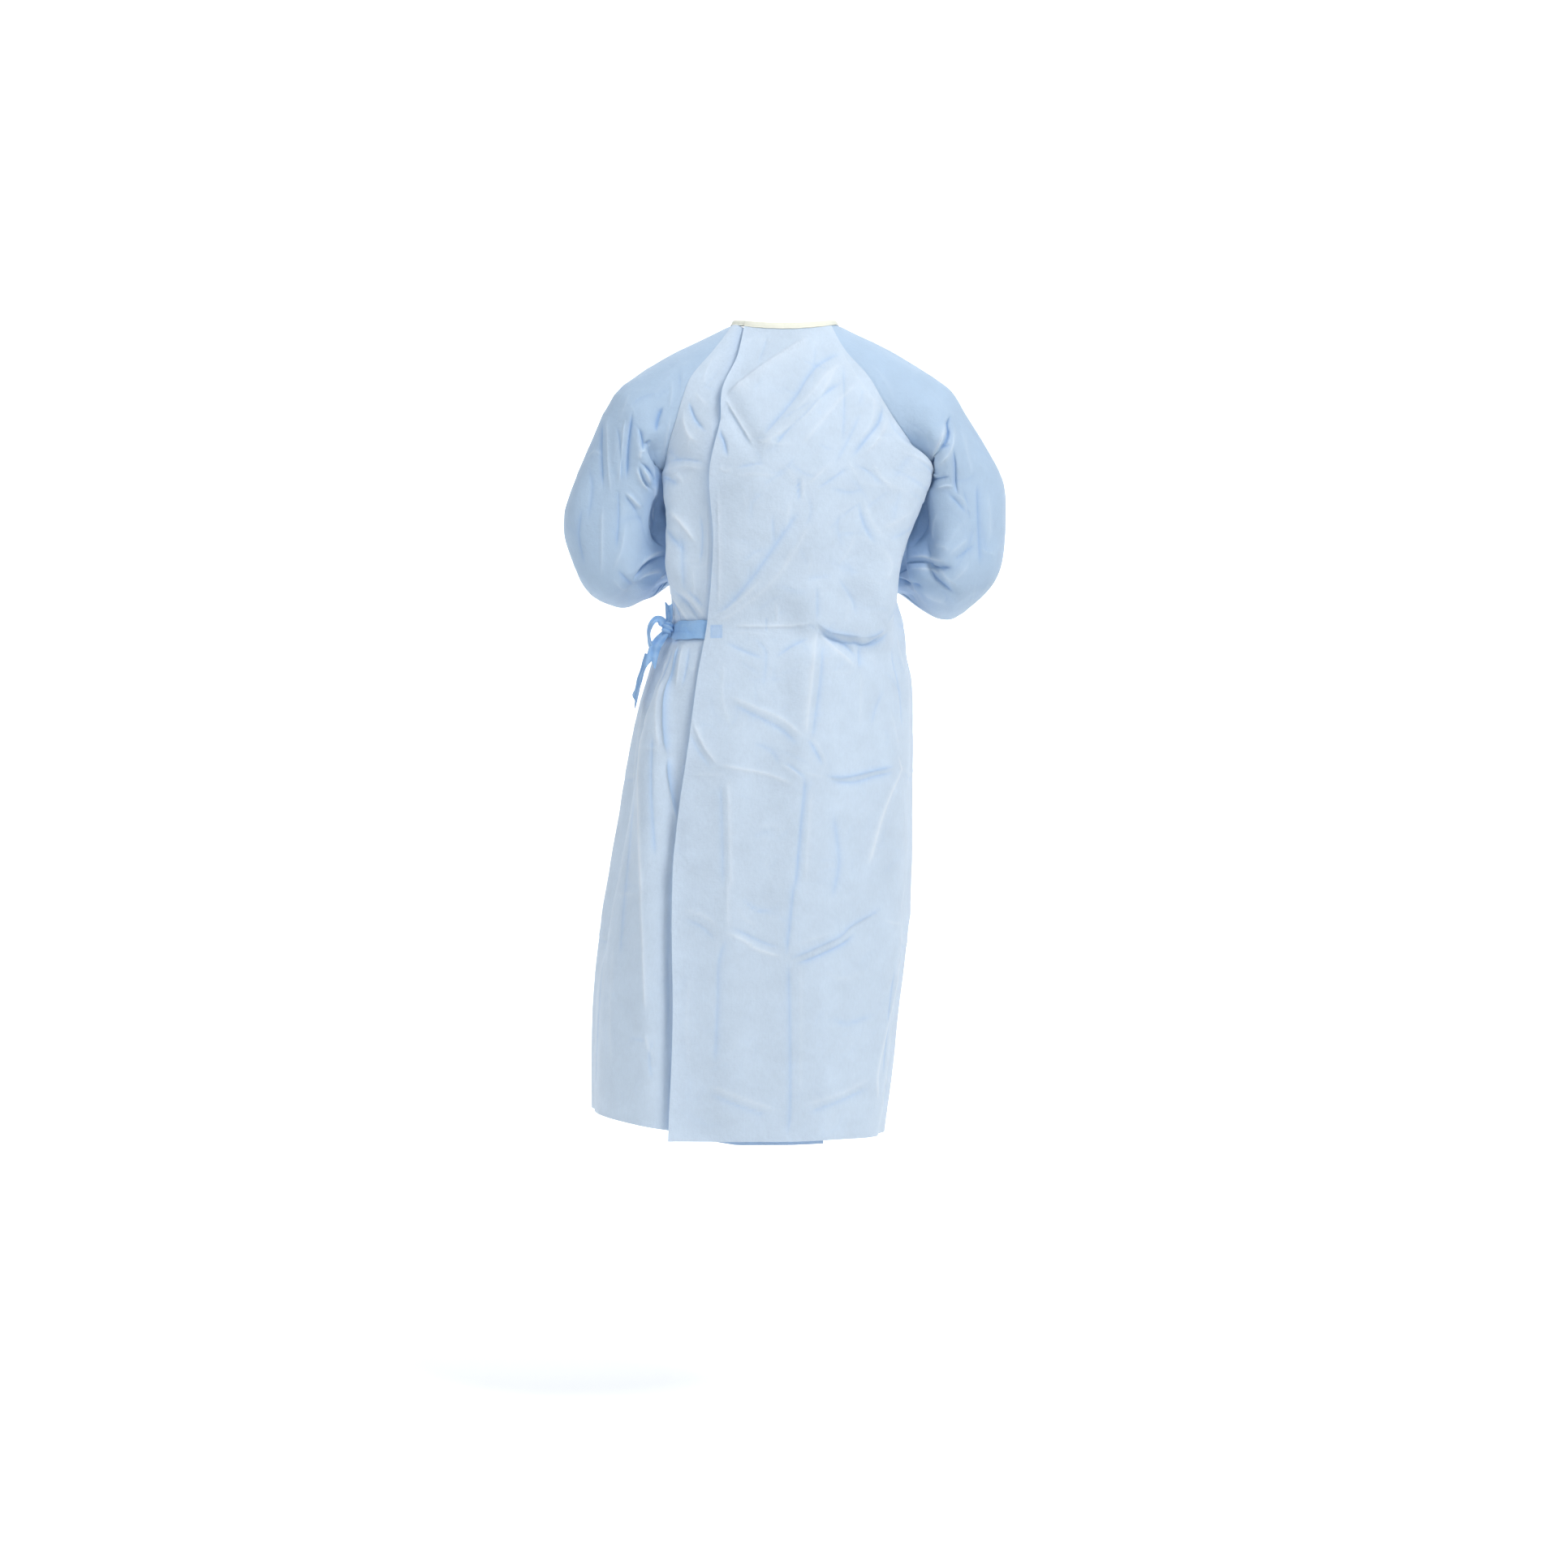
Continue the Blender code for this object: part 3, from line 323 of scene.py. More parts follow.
def curve_through(at, knots, values):
    """Smooth curve through a table's rows: on each stretch a cubic whose slope at a row is the mean of the
    two stretches that meet there."""
    over = (slice(None),) + (None,) * (values.ndim - 1)
    stretch = np.diff(values, axis=0) / np.diff(knots)[over]
    slope = np.concatenate([stretch[:1], (stretch[1:] + stretch[:-1]) / 2, stretch[-1:]])
    i = np.clip(np.searchsorted(knots, at, side="right") - 1, 0, len(knots) - 2)
    length = knots[i + 1] - knots[i]
    t = np.clip((at - knots[i]) / length, 0.0, 1.0)
    if values.ndim > 1:
        t, length = t[over], length[over]
    from_start = (2 * t**3 - 3 * t**2 + 1) * values[i] + (t**3 - 2 * t**2 + t) * length * slope[i]
    return from_start + (3 * t**2 - 2 * t**3) * values[i + 1] + (t**3 - t**2) * length * slope[i + 1]


def read(columns, name, height):
    """A column of a table of heights at any height."""
    return curve_through(height, columns["height"], columns[name])


def smoothstep(t):
    """0 below 0, 1 above 1, and 3t^2 - 2t^3 between."""
    t = np.clip(t, 0.0, 1.0)
    return t * t * (3 - 2 * t)


def power(value, exponent):
    """The size of the value to a power, with the value's own sign."""
    return np.sign(value) * np.abs(value) ** exponent


def unit(vectors):
    """Each vector divided by its length."""
    return vectors / np.maximum(np.linalg.norm(vectors, axis=-1, keepdims=True), 1e-12)


def body_form(angle, height):
    """The worn body as a squared ellipse at each height: x goes as sin^(2/n) of the angle and y as
    cos^(2/n). Angle 0 is the centre back, a quarter turn the wearer's right side and half a turn the centre
    front."""
    angle, height = np.broadcast_arrays(np.asarray(angle, float), np.asarray(height, float))
    sine, cosine = np.sin(angle), np.cos(angle)
    depth = np.where(cosine > 0, read(BODY, "back", height), read(BODY, "front", height))
    x = read(BODY, "middle", height) + read(BODY, "half_width", height) * power(sine, 2 / SQUARENESS)
    y = -depth * power(cosine, 2 / SQUARENESS)
    rise = read(BODY, "side_rise", height) * sine**2
    drop = read(BODY, "front_drop", height) * np.where(cosine < 0, cosine**2, 0.0)
    return np.stack([x, y, height + rise - drop], axis=-1)


def angle_at(x, height):
    """The angle on the back at which the form is that far from the centre line."""
    share = (x - read(BODY, "middle", height)) / read(BODY, "half_width", height)
    return np.arcsin(np.clip(power(share, SQUARENESS / 2), -1.0, 1.0))


def seam_angle(side, face, height):
    """The angle of a raglan seam, or of the side seam below the armpit."""
    above = np.maximum(height, ARMPIT)
    seam = angle_at(read(RAGLAN, face + "_" + side, above), above)
    quarter = math.pi / 2 if side == "right" else -math.pi / 2
    return np.where(height <= ARMPIT, quarter, 2 * quarter - seam if face == "front" else seam)


def form_normal(angle, height):
    """Outward unit normal of the form: the cross product of a small step across and a small step up."""
    across = body_form(angle + 0.02, height) - body_form(angle - 0.02, height)
    top = np.minimum(height + 0.004, NECK)
    return unit(np.cross(across, body_form(angle, top) - body_form(angle, top - 0.008)))


def fold_line(across, height, columns):
    """Sum of large folds over a face: each is a bell across its line, dying away past the line's ends."""
    total = np.zeros_like(across)
    for x0, z0, x1, z1, width, depth in zip(*(columns[name] for name in FOLD_COLUMNS.split())):
        step = np.array([x1 - x0, z1 - z0])
        length = np.hypot(*step)
        along = ((across - x0) * step[0] + (height - z0) * step[1]) / length
        off = ((across - x0) * step[1] - (height - z0) * step[0]) / length
        past = np.maximum(np.maximum(-along, along - length), 0.0)
        total += depth * np.exp(-(off**2) / (2 * width**2) - past**2 / (8 * width**2))
    return total


BROAD_SHARE, SHARP_SHARE, SHARP_REACH, PAINT_REACH = 0.58, 0.42, 0.0015, 0.0010


def creases(across, height, rows):
    """Sum of creases over a face, and of the shade and highlight painted along them. Each smooth line lifts
    the cloth by its depth times a broad exp(-(d / reach)^1.15) and a sharp exp(-d / 1.5 mm), where d is the
    distance to the line and reach differs on its two sides, and tapers away towards the line's ends. Its
    painted shade, where negative, and painted highlight, where positive, is a share of the depth, or of the
    row's last number, times exp(-(d / (1 mm + reach / 6))^1.2)."""
    total = np.zeros(across.shape + (2,))
    for points, ahead, behind, depth, *painted_mark in rows:
        line = np.array(points, float).reshape(-1, 2) / 1000
        knots = np.arange(len(line), dtype=float)
        line = curve_through(np.linspace(0.0, knots[-1], 5 * len(line)), knots, line)
        margin = max(ahead, behind) * 0.0026
        low, high = line.min(axis=0) - margin, line.max(axis=0) + margin
        near = (across > low[0]) & (across < high[0]) & (height > low[1]) & (height < high[1])
        if not near.any():
            continue
        step = np.diff(line, axis=0)
        length = np.hypot(step[:, 0], step[:, 1])
        offset = np.stack([across[near], height[near]], axis=-1)[:, None] - line[None, :-1]
        t = np.clip((offset * step).sum(axis=-1) / length**2, 0.0, 1.0)
        gap = np.linalg.norm(offset - t[..., None] * step, axis=-1)
        pick = np.arange(len(gap)), gap.argmin(axis=1)
        gap, side = gap[pick], (step[:, 0] * offset[..., 1] - step[:, 1] * offset[..., 0])[pick]
        run = (np.concatenate([[0.0], np.cumsum(length)])[:-1] + t * length)[pick]
        taper = min(0.35 * length.sum(), 0.025)
        fade = smoothstep(run / taper) * smoothstep((length.sum() - run) / taper)
        reach = np.where(side > 0, ahead, behind) / 1000
        lift = BROAD_SHARE * np.exp(-((gap / reach) ** 1.15)) + SHARP_SHARE * np.exp(-gap / SHARP_REACH)
        shown = np.exp(-((gap / (PAINT_REACH + reach / 6)) ** 1.2))
        # How strongly the crease is painted: shade where negative, highlight where positive.
        painted_amount = painted_mark[0] / 4 if painted_mark else depth / (3.6 if depth > 0 else 2.6)
        total[near] += fade[:, None] * np.stack([depth / 1000 * lift, painted_amount * shown], axis=-1)
    return total


def crumple(seed, count, across, height, size=1.0):
    """Rows of small creases strewn over a face, as on handled nonwoven: short bent lines in any
    direction."""
    rng = np.random.default_rng(seed)
    rows = []
    for _ in range(count):
        middle = np.array([rng.uniform(*across), rng.uniform(*height)])
        length, heading = rng.uniform(14, 62) * size, rng.uniform(0, math.pi)
        step = np.array([math.cos(heading), math.sin(heading)]) * length / 2
        bow = np.array([-step[1], step[0]]) * rng.normal(0, 0.22)
        line = np.concatenate([middle - step, middle + bow, middle + step])
        sharp, soft = rng.uniform(2.0, 4.5), rng.uniform(6.0, 18.0)
        reaches = (sharp, soft) if rng.random() < 0.5 else (soft, sharp)
        rows.append((line, *reaches, rng.choice([-1, 1]) * rng.uniform(0.15, 0.60) * (length / 40) ** 0.5))
    return rows


def seam_distance(angle, height):
    """How far each point is round the body from the nearest raglan seam, in metres."""
    turn = np.mod(angle + math.pi, 2 * math.pi) - math.pi
    nearest = np.full(turn.shape, 10.0)
    for side in ("left", "right"):
        for face in ("back", "front"):
            seam = np.mod(seam_angle(side, face, height) + math.pi, 2 * math.pi) - math.pi
            nearest = np.minimum(nearest, np.abs(turn - seam))
    return nearest * BODY_RADIUS


def faces_of(points, normal, start, over, rows_of, shape):
    """A pattern of each face, weighted by how far the cloth turns towards that face, and added up."""
    total = 0.0
    for face, outward in FACE_OUTWARD.items():
        across = points[..., 0] if outward[0] == 0 else points[..., 1]
        facing = normal[..., 0] * outward[0] + normal[..., 1] * outward[1]
        share = smoothstep((facing - start) / over)
        if face in rows_of:
            pattern = shape(across, points[..., 2], rows_of[face])
            total = total + (share if pattern.ndim == share.ndim else share[..., None]) * pattern
    return total


FOLD_TABLES = {face: table(FOLD_COLUMNS, rows) for face, rows in FOLDS.items()}
CRUMPLE_SPANS = {"back": (-245, 250), "front": (-250, 250), "right": (-190, 190), "left": (-190, 190)}
STREWN = {face: crumple(*CRUMPLES[face], CRUMPLE_SPANS[face], (-1180, -20)) for face in CRUMPLES}
STREWN_SHARE = ((-1.18, -0.80, -0.62, -0.45, -0.20, -0.02), (0.40, 0.42, 0.55, 0.9, 1.25, 1.0))  # by height
DRAWN_IN = (  # by height, how far the left and then the right side stands in from the form
    (-1.177, -1.10, -0.95, -0.85, -0.80, -0.71, -0.65, -0.59, -0.54, -0.51, -0.48, -0.45, -0.42, -0.36),
    (0.005, 0.006, 0.006, 0.007, 0.010, 0.013, 0.012, 0.011, 0.009, 0.008, 0.005, 0.003, 0.002, 0.0),
    (0.006, 0.007, 0.005, 0.006, 0.008, 0.010, 0.009, 0.006, 0.002, 0.0, 0.0, 0.0, 0.0, 0.0),
)


def body_relief(angle, height, drawn):
    """How far the cloth stands off the form: the large folds, fading near a raglan seam and the neck and
    less what the sides stand in, and the creases drawn on each face with the strewn ones, fading at the
    seam line itself."""
    points, normal = body_form(angle, height), form_normal(angle, height)
    distance = seam_distance(angle, height)
    above = smoothstep((height - ARMPIT + 0.05) / 0.05)
    broad = smoothstep((NECK - height) / 0.03) * (1 - above * (1 - smoothstep(distance / 0.0356)))
    fine = 1 - above * (1 - smoothstep((distance - 0.002) / 0.012))
    fine = fine * smoothstep((NECK - 0.003 - height) / 0.014)
    large = faces_of(points, normal, 0.25, 0.45, FOLD_TABLES, fold_line)
    left, right = (np.interp(height, DRAWN_IN[0], stands_in) for stands_in in DRAWN_IN[1:])
    sides = np.where(np.sin(angle) > 0, right, left) * np.abs(np.sin(angle)) ** 3
    small = faces_of(points, normal, 0.10, 0.35, STREWN, creases)
    small = small * np.interp(height, *STREWN_SHARE)[..., None]
    small = small + faces_of(points, normal, 0.10, 0.30, drawn, creases)
    return points, normal, large * broad - sides, small * fine[..., None]


LIFT, LIFT_FROM, LIFT_OVER = 0.031, -0.75, 0.40  # the ties and the raised arms lift the hem at the left


def lifted(points, angle, height):
    """The cloth raised towards the hem at the wearer's left side."""
    share = np.where(np.cos(angle) > 0, np.maximum(-np.sin(angle), 0.0) ** 0.8, (1 - np.sin(angle)) / 2)
    points = points.copy()
    points[..., 2] += LIFT * share * smoothstep((LIFT_FROM - height) / LIFT_OVER)
    return points


ROW_CROWDING = (  # how close the rows are at each height, against those at the hem
    (-1.177, -1.13, -1.12, -1.08, -1.07, -0.94, -0.93, -0.86, -0.85, -0.70,
     -0.68, -0.63, -0.62, -0.49, -0.48, -0.43, -0.42, -0.27, -0.22, 0.0),
    (1.0, 1.0, 1.5, 1.5, 1.0, 1.0, 2.3, 2.3, 1.0, 1.0, 2.3, 2.3, 1.7, 1.8, 2.6, 2.6, 1.5, 1.6, 2.1, 2.1),
)


def row_heights(count):
    """Heights of a panel's rows from hem to neck, closer together where creases lie across it."""
    fine = np.linspace(HEM, NECK, 2001)
    crowd = np.interp(fine, *ROW_CROWDING)
    share = np.concatenate([[0.0], np.cumsum(crowd[1:] + crowd[:-1])])
    return np.interp(np.linspace(0.0, share[-1], count), share, fine)


def spread(first, last, count):
    """count angles on each row, evenly from its first to its last."""
    share = np.linspace(0.0, 1.0, count)
    return first[:, None] * (1 - share) + last[:, None] * share


def cloth(
    name, node, grid, material, wall=0.0, closed=False, flip=False, offset=-1.0, painted_shading=None, shade=0.0
):
    """A piece of cloth over a grid of points: four-sided faces, a wall if it is thick, a UV map in metres
    along both of its directions, and its creases' painted shading as two attributes: painted shade where
    negative or in the shade of what lies over it, painted highlight where positive. It stands for a node of
    the frame and hides that node's part."""
    rows, columns = grid.shape[:2]
    index = np.arange(rows * columns).reshape(rows, columns)
    if closed:
        index = np.concatenate([index, index[:, :1]], axis=1)
    faces = np.stack([index[:-1, :-1], index[:-1, 1:], index[1:, 1:], index[1:, :-1]], axis=-1).reshape(-1, 4)
    mesh = bpy.data.meshes.new(name)
    mesh.from_pydata(grid.reshape(-1, 3).tolist(), [], (faces[:, ::-1] if flip else faces).tolist())
    round_it = np.concatenate([grid, grid[:, :1]], axis=1) if closed else grid
    u = np.cumsum(np.linalg.norm(np.diff(round_it, axis=1, prepend=round_it[:, :1]), axis=-1), axis=1)
    v = np.cumsum(np.linalg.norm(np.diff(round_it, axis=0, prepend=round_it[:1]), axis=-1), axis=0)
    uv = np.stack([u, v], axis=-1)
    corners = np.stack([uv[:-1, :-1], uv[:-1, 1:], uv[1:, 1:], uv[1:, :-1]], axis=2).reshape(-1, 4, 2)
    layer = mesh.uv_layers.new(name="metres")
    layer.data.foreach_set("uv", (corners[:, ::-1] if flip else corners).astype(np.float32).ravel())
    if painted_shading is not None:
        # Painted shade and painted highlight, stored for the material to mix into the colour.
        for label, values in (("painted_shade", np.maximum(-painted_shading, shade)), ("painted_highlight", painted_shading)):
            values = np.clip(values, 0.0, 1.0).astype(np.float32)
            mesh.attributes.new(label, "FLOAT", "POINT").data.foreach_set("value", values.ravel())
    mesh.shade_smooth()
    mesh.materials.append(material)
    piece = bpy.data.objects.new(name, mesh)
    scene.collection.objects.link(piece)
    if wall:
        solid = piece.modifiers.new("wall", "SOLIDIFY")
        solid.thickness, solid.offset, solid.use_even_offset = wall, offset, False
        solid.use_quality_normals = True
    if node:
        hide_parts(node)
    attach(piece, "root")
    return piece


def nonwoven(name, colour, painted_shade, painted_highlight, cloudy=0.043, through=0.10):
    """Spunbond nonwoven: cloudy web and streaks of fibre in the colour, painted a deeper blue as shade in
    creases and where other cloth shades it, and painted whiter on crests as a highlight, which also stands
    for the whitening of creased cloth, with fine crinkles, fibres and a bonded dot pattern as bumps, a soft
    sheen, and a little light let through."""
    material, tree, shader, place = new_material(name)

    def noise(scale, detail, rough, source="Object", stretch=None):
        vector = place[source]
        if stretch:
            vector = wired(tree, "Mapping", {"Vector": vector, "Scale": stretch}).outputs["Vector"]
        sockets = {"Vector": vector, "Scale": scale, "Detail": detail, "Roughness": rough}
        return wired(tree, "TexNoise", sockets).outputs["Fac"]

    def bump(height, distance, **after):
        return wired(tree, "Bump", {"Height": height, "Distance": distance, **after}).outputs["Normal"]

    def painted_mark(label, strength):
        worn = wired(tree, "Attribute", {}, attribute_name=label).outputs["Fac"]
        return remap(tree, worn, 0.0, 1.0, 0.0, strength)

    web = remap(tree, noise(26.0, 5.0, 0.62), 0.30, 0.70, 1.0 - cloudy, 1.0 + cloudy)
    fibres = noise(1.0, 4.0, 0.70, "UV", (330.0, 90.0, 1.0))
    fibres = remap(tree, fibres, 0.25, 0.75, 1.0 - cloudy * 0.7, 1.0 + cloudy * 0.7)
    base = blend(tree, 1.0, (*colour, 1.0), blend(tree, 1.0, web, fibres, "MULTIPLY"), "MULTIPLY")
    # Painted shade, then painted highlight, mixed into the colour from the cloth's attributes.
    base = blend(tree, painted_mark("painted_shade", 0.58), base, (*painted_shade, 1.0))
    base = blend(tree, painted_mark("painted_highlight", 0.55), base, (*painted_highlight, 1.0))
    bonds = wired(tree, "TexVoronoi", {"Vector": place["UV"], "Scale": 620.0, "Randomness": 0.12})
    bonds = remap(tree, bonds.outputs["Distance"], 0.0, 0.4, 0.0, 1.0)
    normal = bump(noise(34.0, 6.0, 0.62), 0.0018)
    normal = bump(noise(150.0, 5.0, 0.65), 0.00085, Normal=normal)
    normal = bump(noise(1.0, 3.0, 0.60, "UV", (700.0, 220.0, 1.0)), 0.00008, Normal=normal)
    wired(tree, shader, {
        "Base Color": base,
        "Normal": bump(bonds, 0.00010, Normal=normal),
        "Roughness": 0.62,
        "Specular IOR Level": 0.35,
        "Sheen Weight": 0.20,
        "Sheen Roughness": 0.45,
        "Sheen Tint": (0.92, 0.96, 1.0, 1.0),
    })
    thin = wired(tree, "BsdfTranslucent", {"Color": base})
    both = wired(tree, "MixShader", {"Fac": through, 1: shader.outputs["BSDF"], 2: thin.outputs["BSDF"]})
    wired(tree, tree.nodes["Material Output"], {"Surface": both.outputs["Shader"]})
    return material


# Light blue cloth, then its painted shade colour and its painted highlight colour.
BODY_BLUE = nonwoven("nonwoven_body", (0.618, 0.712, 0.822), (0.33, 0.53, 0.83), (0.88, 0.92, 0.96))
SEAM_OVERLAP, SEAM_GAP = 0.008, 0.002  # radians: the front's under the backs, the backs' from a seam
FRONT_GRID = (230, 170)  # rows and points across
heights = row_heights(FRONT_GRID[0])
first = seam_angle("right", "front", heights) - SEAM_OVERLAP
last = 2 * math.pi + seam_angle("left", "front", heights) + SEAM_OVERLAP
angles = spread(first, last, FRONT_GRID[1])
form, normal, large, small = body_relief(angles, heights[:, None], FRONT_DRAWN)
from_edge = np.minimum(angles - first[:, None], last[:, None] - angles) * BODY_RADIUS
inward = 0.0009 * (1 - smoothstep((from_edge - 0.0018) / 0.003))  # sewn under the back below the armpits
inward = inward * (heights[:, None] < ARMPIT)
grid = lifted(form + normal * (large + small[..., 0] - inward)[..., None], angles, heights[:, None])
# Its creases carry painted shade and painted highlight.
front_panel = cloth("front_panel_cloth", "front_panel", grid, BODY_BLUE, painted_shading=small[..., 1])

# ----------------------------------------------------------------------------------------- outer back panel
# The wearer's right back panel, of the same cloth as the front. It wraps over the other back panel to a
# free edge near the wearer's left side, held by the neck fastening under it and by the ties.
WRAP = table("height outer_edge inner_edge tuck", """
-1.172 -0.1610 0.058 0.024
-1.000 -0.1555 0.056 0.026
-0.850 -0.1570 0.055 0.024
-0.740 -0.1530 0.054 0.018
-0.620 -0.1360 0.054 0.012
-0.520 -0.1230 0.053 0.008
-0.440 -0.1100 0.052 0.007
-0.320 -0.1000 0.048 0.005
-0.220 -0.1050 0.044 0.004
-0.150 -0.0900 0.040 0.004
-0.110 -0.0860 0.038 0.004
-0.060 -0.0660 0.036 0.004
-0.014 -0.0570 0.034 0.004
""")
BACK_CREASES = crease_table("""
-90 -160 -89 -171 -85 -180 -82 -193 -79 -206 | 2 13.6 -3.1
39 -31 -30 -77 -84 -121 | 60 4 7.5 1.6
-86 -116 -61 -160 -40 -193 | 34 4 5 1.8
-84 -125 -64 -157 -45 -191 | 2.2 8 -2.2 -2.4
78 -70 41 -136 2 -167 -40 -191 | 7 32 2.2
85 -52 51 -71 32 -93 14 -123 -32 -178 | 4.8 15.3 -1.8
92 -63 60 -88 40 -114 7 -150 | 4.2 15.3 1.4
86 -94 54 -118 29 -146 2 -171 -16 -197 | 4.8 13.6 -2
108 -95 79 -123 53 -155 22 -192 | 4.8 17 1.6
84 -69 85 -132 82 -187 | 10.2 3 -1.1
130 -107 123 -155 99 -187 | 13.6 4.2 1.4
143 -121 135 -153 115 -180 94 -208 | 4.8 15.3 -2.4
150 -141 133 -178 110 -203 | 13.6 3.6 1.8
110 -138 92 -178 71 -218 | 4.2 11.9 -1.1
45 -41 41 -82 | 8.5 3 -0.6
74 -38 110 -98 154 -155 | 3 20 0.7
168 -203 189 -218 209 -238 | 8.5 3 -1.1
154 -192 179 -205 207 -224 | 3 8.5 1.1
148 -218 177 -236 208 -252 | 3 10.2 -0.9
120 -224 152 -243 200 -261 | 3.6 11.9 0.9
-70 -221 -47 -216 -22 -214 | 8.5 3 -1.3
-76 -231 -41 -229 -7 -233 | 3.6 10.2 1.2
-93 -215 -84 -224 -71 -220 | 4 4.8 1.5
2 -218 12 -233 18 -247 | 4 4.8 1.3
20 -231 21 -270 | 8.5 2 -2.1
26 -229 28 -272 | 4 4.8 1.7
32 -247 53 -226 74 -208 | 3 10.2 1.4
44 -252 67 -236 94 -217 | 3 8.5 -1.4
87 -208 99 -224 108 -238 | 2.4 8.5 1.2
99 -215 124 -226 145 -247 | 3 8.5 -1.3
124 -208 140 -236 152 -254 | 8.5 3 1.4
154 -243 175 -254 184 -272 | 3 8.5 -1.2
62 -247 90 -254 115 -249 | 3.6 13.6 -1.1
9 -261 5 -293 0 -318 | 3 8.5 1.3
-17 -282 -14 -334 | 8.5 3 -1
23 -279 -9 -325 -40 -369 -71 -406 -99 -433 | 16 20 -1.6
39 -293 7 -351 -30 -394 -76 -428 -103 -440 | 16 12 1.2
-105 -433 -70 -412 -30 -376 | 4.2 17 1.9
106 -266 112 -295 121 -328 | 10.2 3.6 -1.9
113 -261 122 -295 131 -321 | 3 8.5 1.5
166 -266 145 -286 125 -305 | 8.5 3 1.3
177 -272 152 -298 129 -318 | 3.6 10.2 -1.1
122 -321 131 -351 122 -385 | 3.6 13.6 1.2
46 -380 46 -440 | 15.3 4.2 -1.2
-12 -406 -9 -443 | 2.4 8.5 1.4
-25 -429 -25 -454 | 4 4.8 -1.3
74 -371 94 -404 99 -431 | 13.6 4.8 -1
-94 -247 -92 -339 -94 -420 | 20 2.4 1.2
-78 -443 -34 -444 21 -443 46 -437 | 15.3 2.4 2
43 -436 62 -451 90 -458 115 -462 | 14 2.2 5.4 -2.4
108 -461 122 -459 138 -448 | 12 2.2 4.6 -2.6
48 -445 64 -459 90 -467 110 -468 | 2.4 10.2 -3.3
92 -463 113 -470 136 -456 | 2.4 11 -5 -5
106 -468 107 -507 | 20 2.4 -1.6
113 -472 129 -466 145 -450 | 3 20 -2
47 -453 76 -477 105 -505 | 3 11.9 3.1
53 -447 87 -470 106 -491 | 2.4 8.5 -2
46 -443 45 -466 40 -514 33 -576 31 -606 | 5 26 2.5
55 -466 51 -518 44 -569 38 -610 | 20 3.6 -1.4
39 -460 12 -472 -14 -490 | 4.8 13.6 -1.6
-87 -464 -62 -477 -25 -492 | 13.6 4.8 -1.6
-46 -456 -34 -468 -25 -484 -29 -535 | 3.6 13.6 -0.9
-80 -452 -46 -453 -16 -459 | 3.6 11.9 0.7
-85 -491 -87 -546 -74 -592 | 5.4 15.3 1.1
163 -376 152 -410 136 -445 | 2.2 16 3.6 -1.6
168 -380 163 -410 154 -443 | 8 3 -2.6 -2.4
-80 -542 -32 -563 0 -578 30 -605 | 3 15 3.2 3
-76 -553 -34 -574 -2 -592 23 -617 | 4.2 13.6 -1.8
29 -605 39 -613 56 -644 | 3.6 11.9 -2
36 -599 48 -615 63 -643 | 3.6 10.2 1.2
-46 -609 -18 -622 -5 -645 | 17 6 -1.1
-131 -574 -114 -614 -90 -646 | 14 3 3.2 3
-136 -590 -120 -622 -99 -650 | 3 11.9 -1.1
-136 -656 -108 -655 -79 -656 | 10.2 2.4 0.9
-95 -640 -59 -647 -23 -654 16 -670 | 3 9 2.8 3.2
-9 -639 7 -647 25 -661 | 3 8.5 1.6
0 -637 22 -654 30 -661 | 4 4.8 -1.7
25 -652 44 -656 60 -658 | 3 8.5 1.1
54 -655 78 -659 101 -656 124 -650 162 -642 | 13 2.2 3.4 -3.2
60 -663 99 -665 133 -656 161 -650 | 2.4 15.3 -1.8
25 -652 28 -673 23 -728 15 -822 | 15.3 5.4 -2
37 -670 34 -730 28 -811 | 20 4.8 1.1
-80 -656 -78 -719 -75 -822 | 20 3 1.8
-89 -663 -87 -721 -85 -818 | 3 17 -1.1
108 -502 109 -546 107 -592 | 13.6 3.6 0.9
145 -530 131 -562 124 -592 | 4.8 13.6 -0.9
-41 -730 -18 -726 2 -735 | 10.2 3.6 0.7
-46 -742 -25 -737 -9 -742 | 3 10.2 -0.6
69 -707 78 -776 67 -834 | 16 16 -1.3
-79 -788 -80 -845 -80 -882 | 17 3.6 1.4
-80 -882 -92 -919 -94 -983 -98 -1066 | 20 6 -1.2
15 -799 9 -857 3 -914 | 4.8 15.3 -1.8
6 -916 8 -1006 8 -1127 3 -1167 | 4.8 15.3 -1.4
21 -916 23 -1006 21 -1110 | 20 5.4 0.7
-147 -843 -113 -854 -87 -873 | 3.6 13.6 1.6
-143 -857 -115 -870 -94 -891 | 3.6 13.6 -1
-86 -875 -57 -888 -37 -901 2 -913 | 3 9 3 3.6
-78 -868 -53 -880 -30 -891 -2 -900 | 3 8.5 -1.4
5 -916 41 -901 80 -883 97 -868 145 -844 | 13 2.2 3.2 -2.2
12 -923 46 -911 85 -893 103 -877 | 2.4 15.3 -2.2
9 -898 44 -886 74 -875 | 10.2 3.6 0.7
-62 -827 -41 -845 -7 -852 | 13.6 3.6 -1.1
-70 -836 -55 -859 -34 -870 | 10.2 3.6 0.9
139 -860 156 -866 175 -869 | 3 8.5 1.4
-110 -1091 -67 -1107 -5 -1130 | 4.2 13.6 1.8
-108 -1102 -69 -1119 -18 -1137 | 3.6 13.6 -1.1
23 -1123 85 -1106 126 -1084 | 13.6 3.6 1.4
28 -1133 85 -1115 122 -1098 | 3 15.3 -1.2
64 -995 90 -1008 131 -995 | 12 12 -1.1
53 -932 85 -944 122 -932 | 12 12 0.8
-133 -937 -138 -1006 -133 -1075 | 17 6 0.6
""")

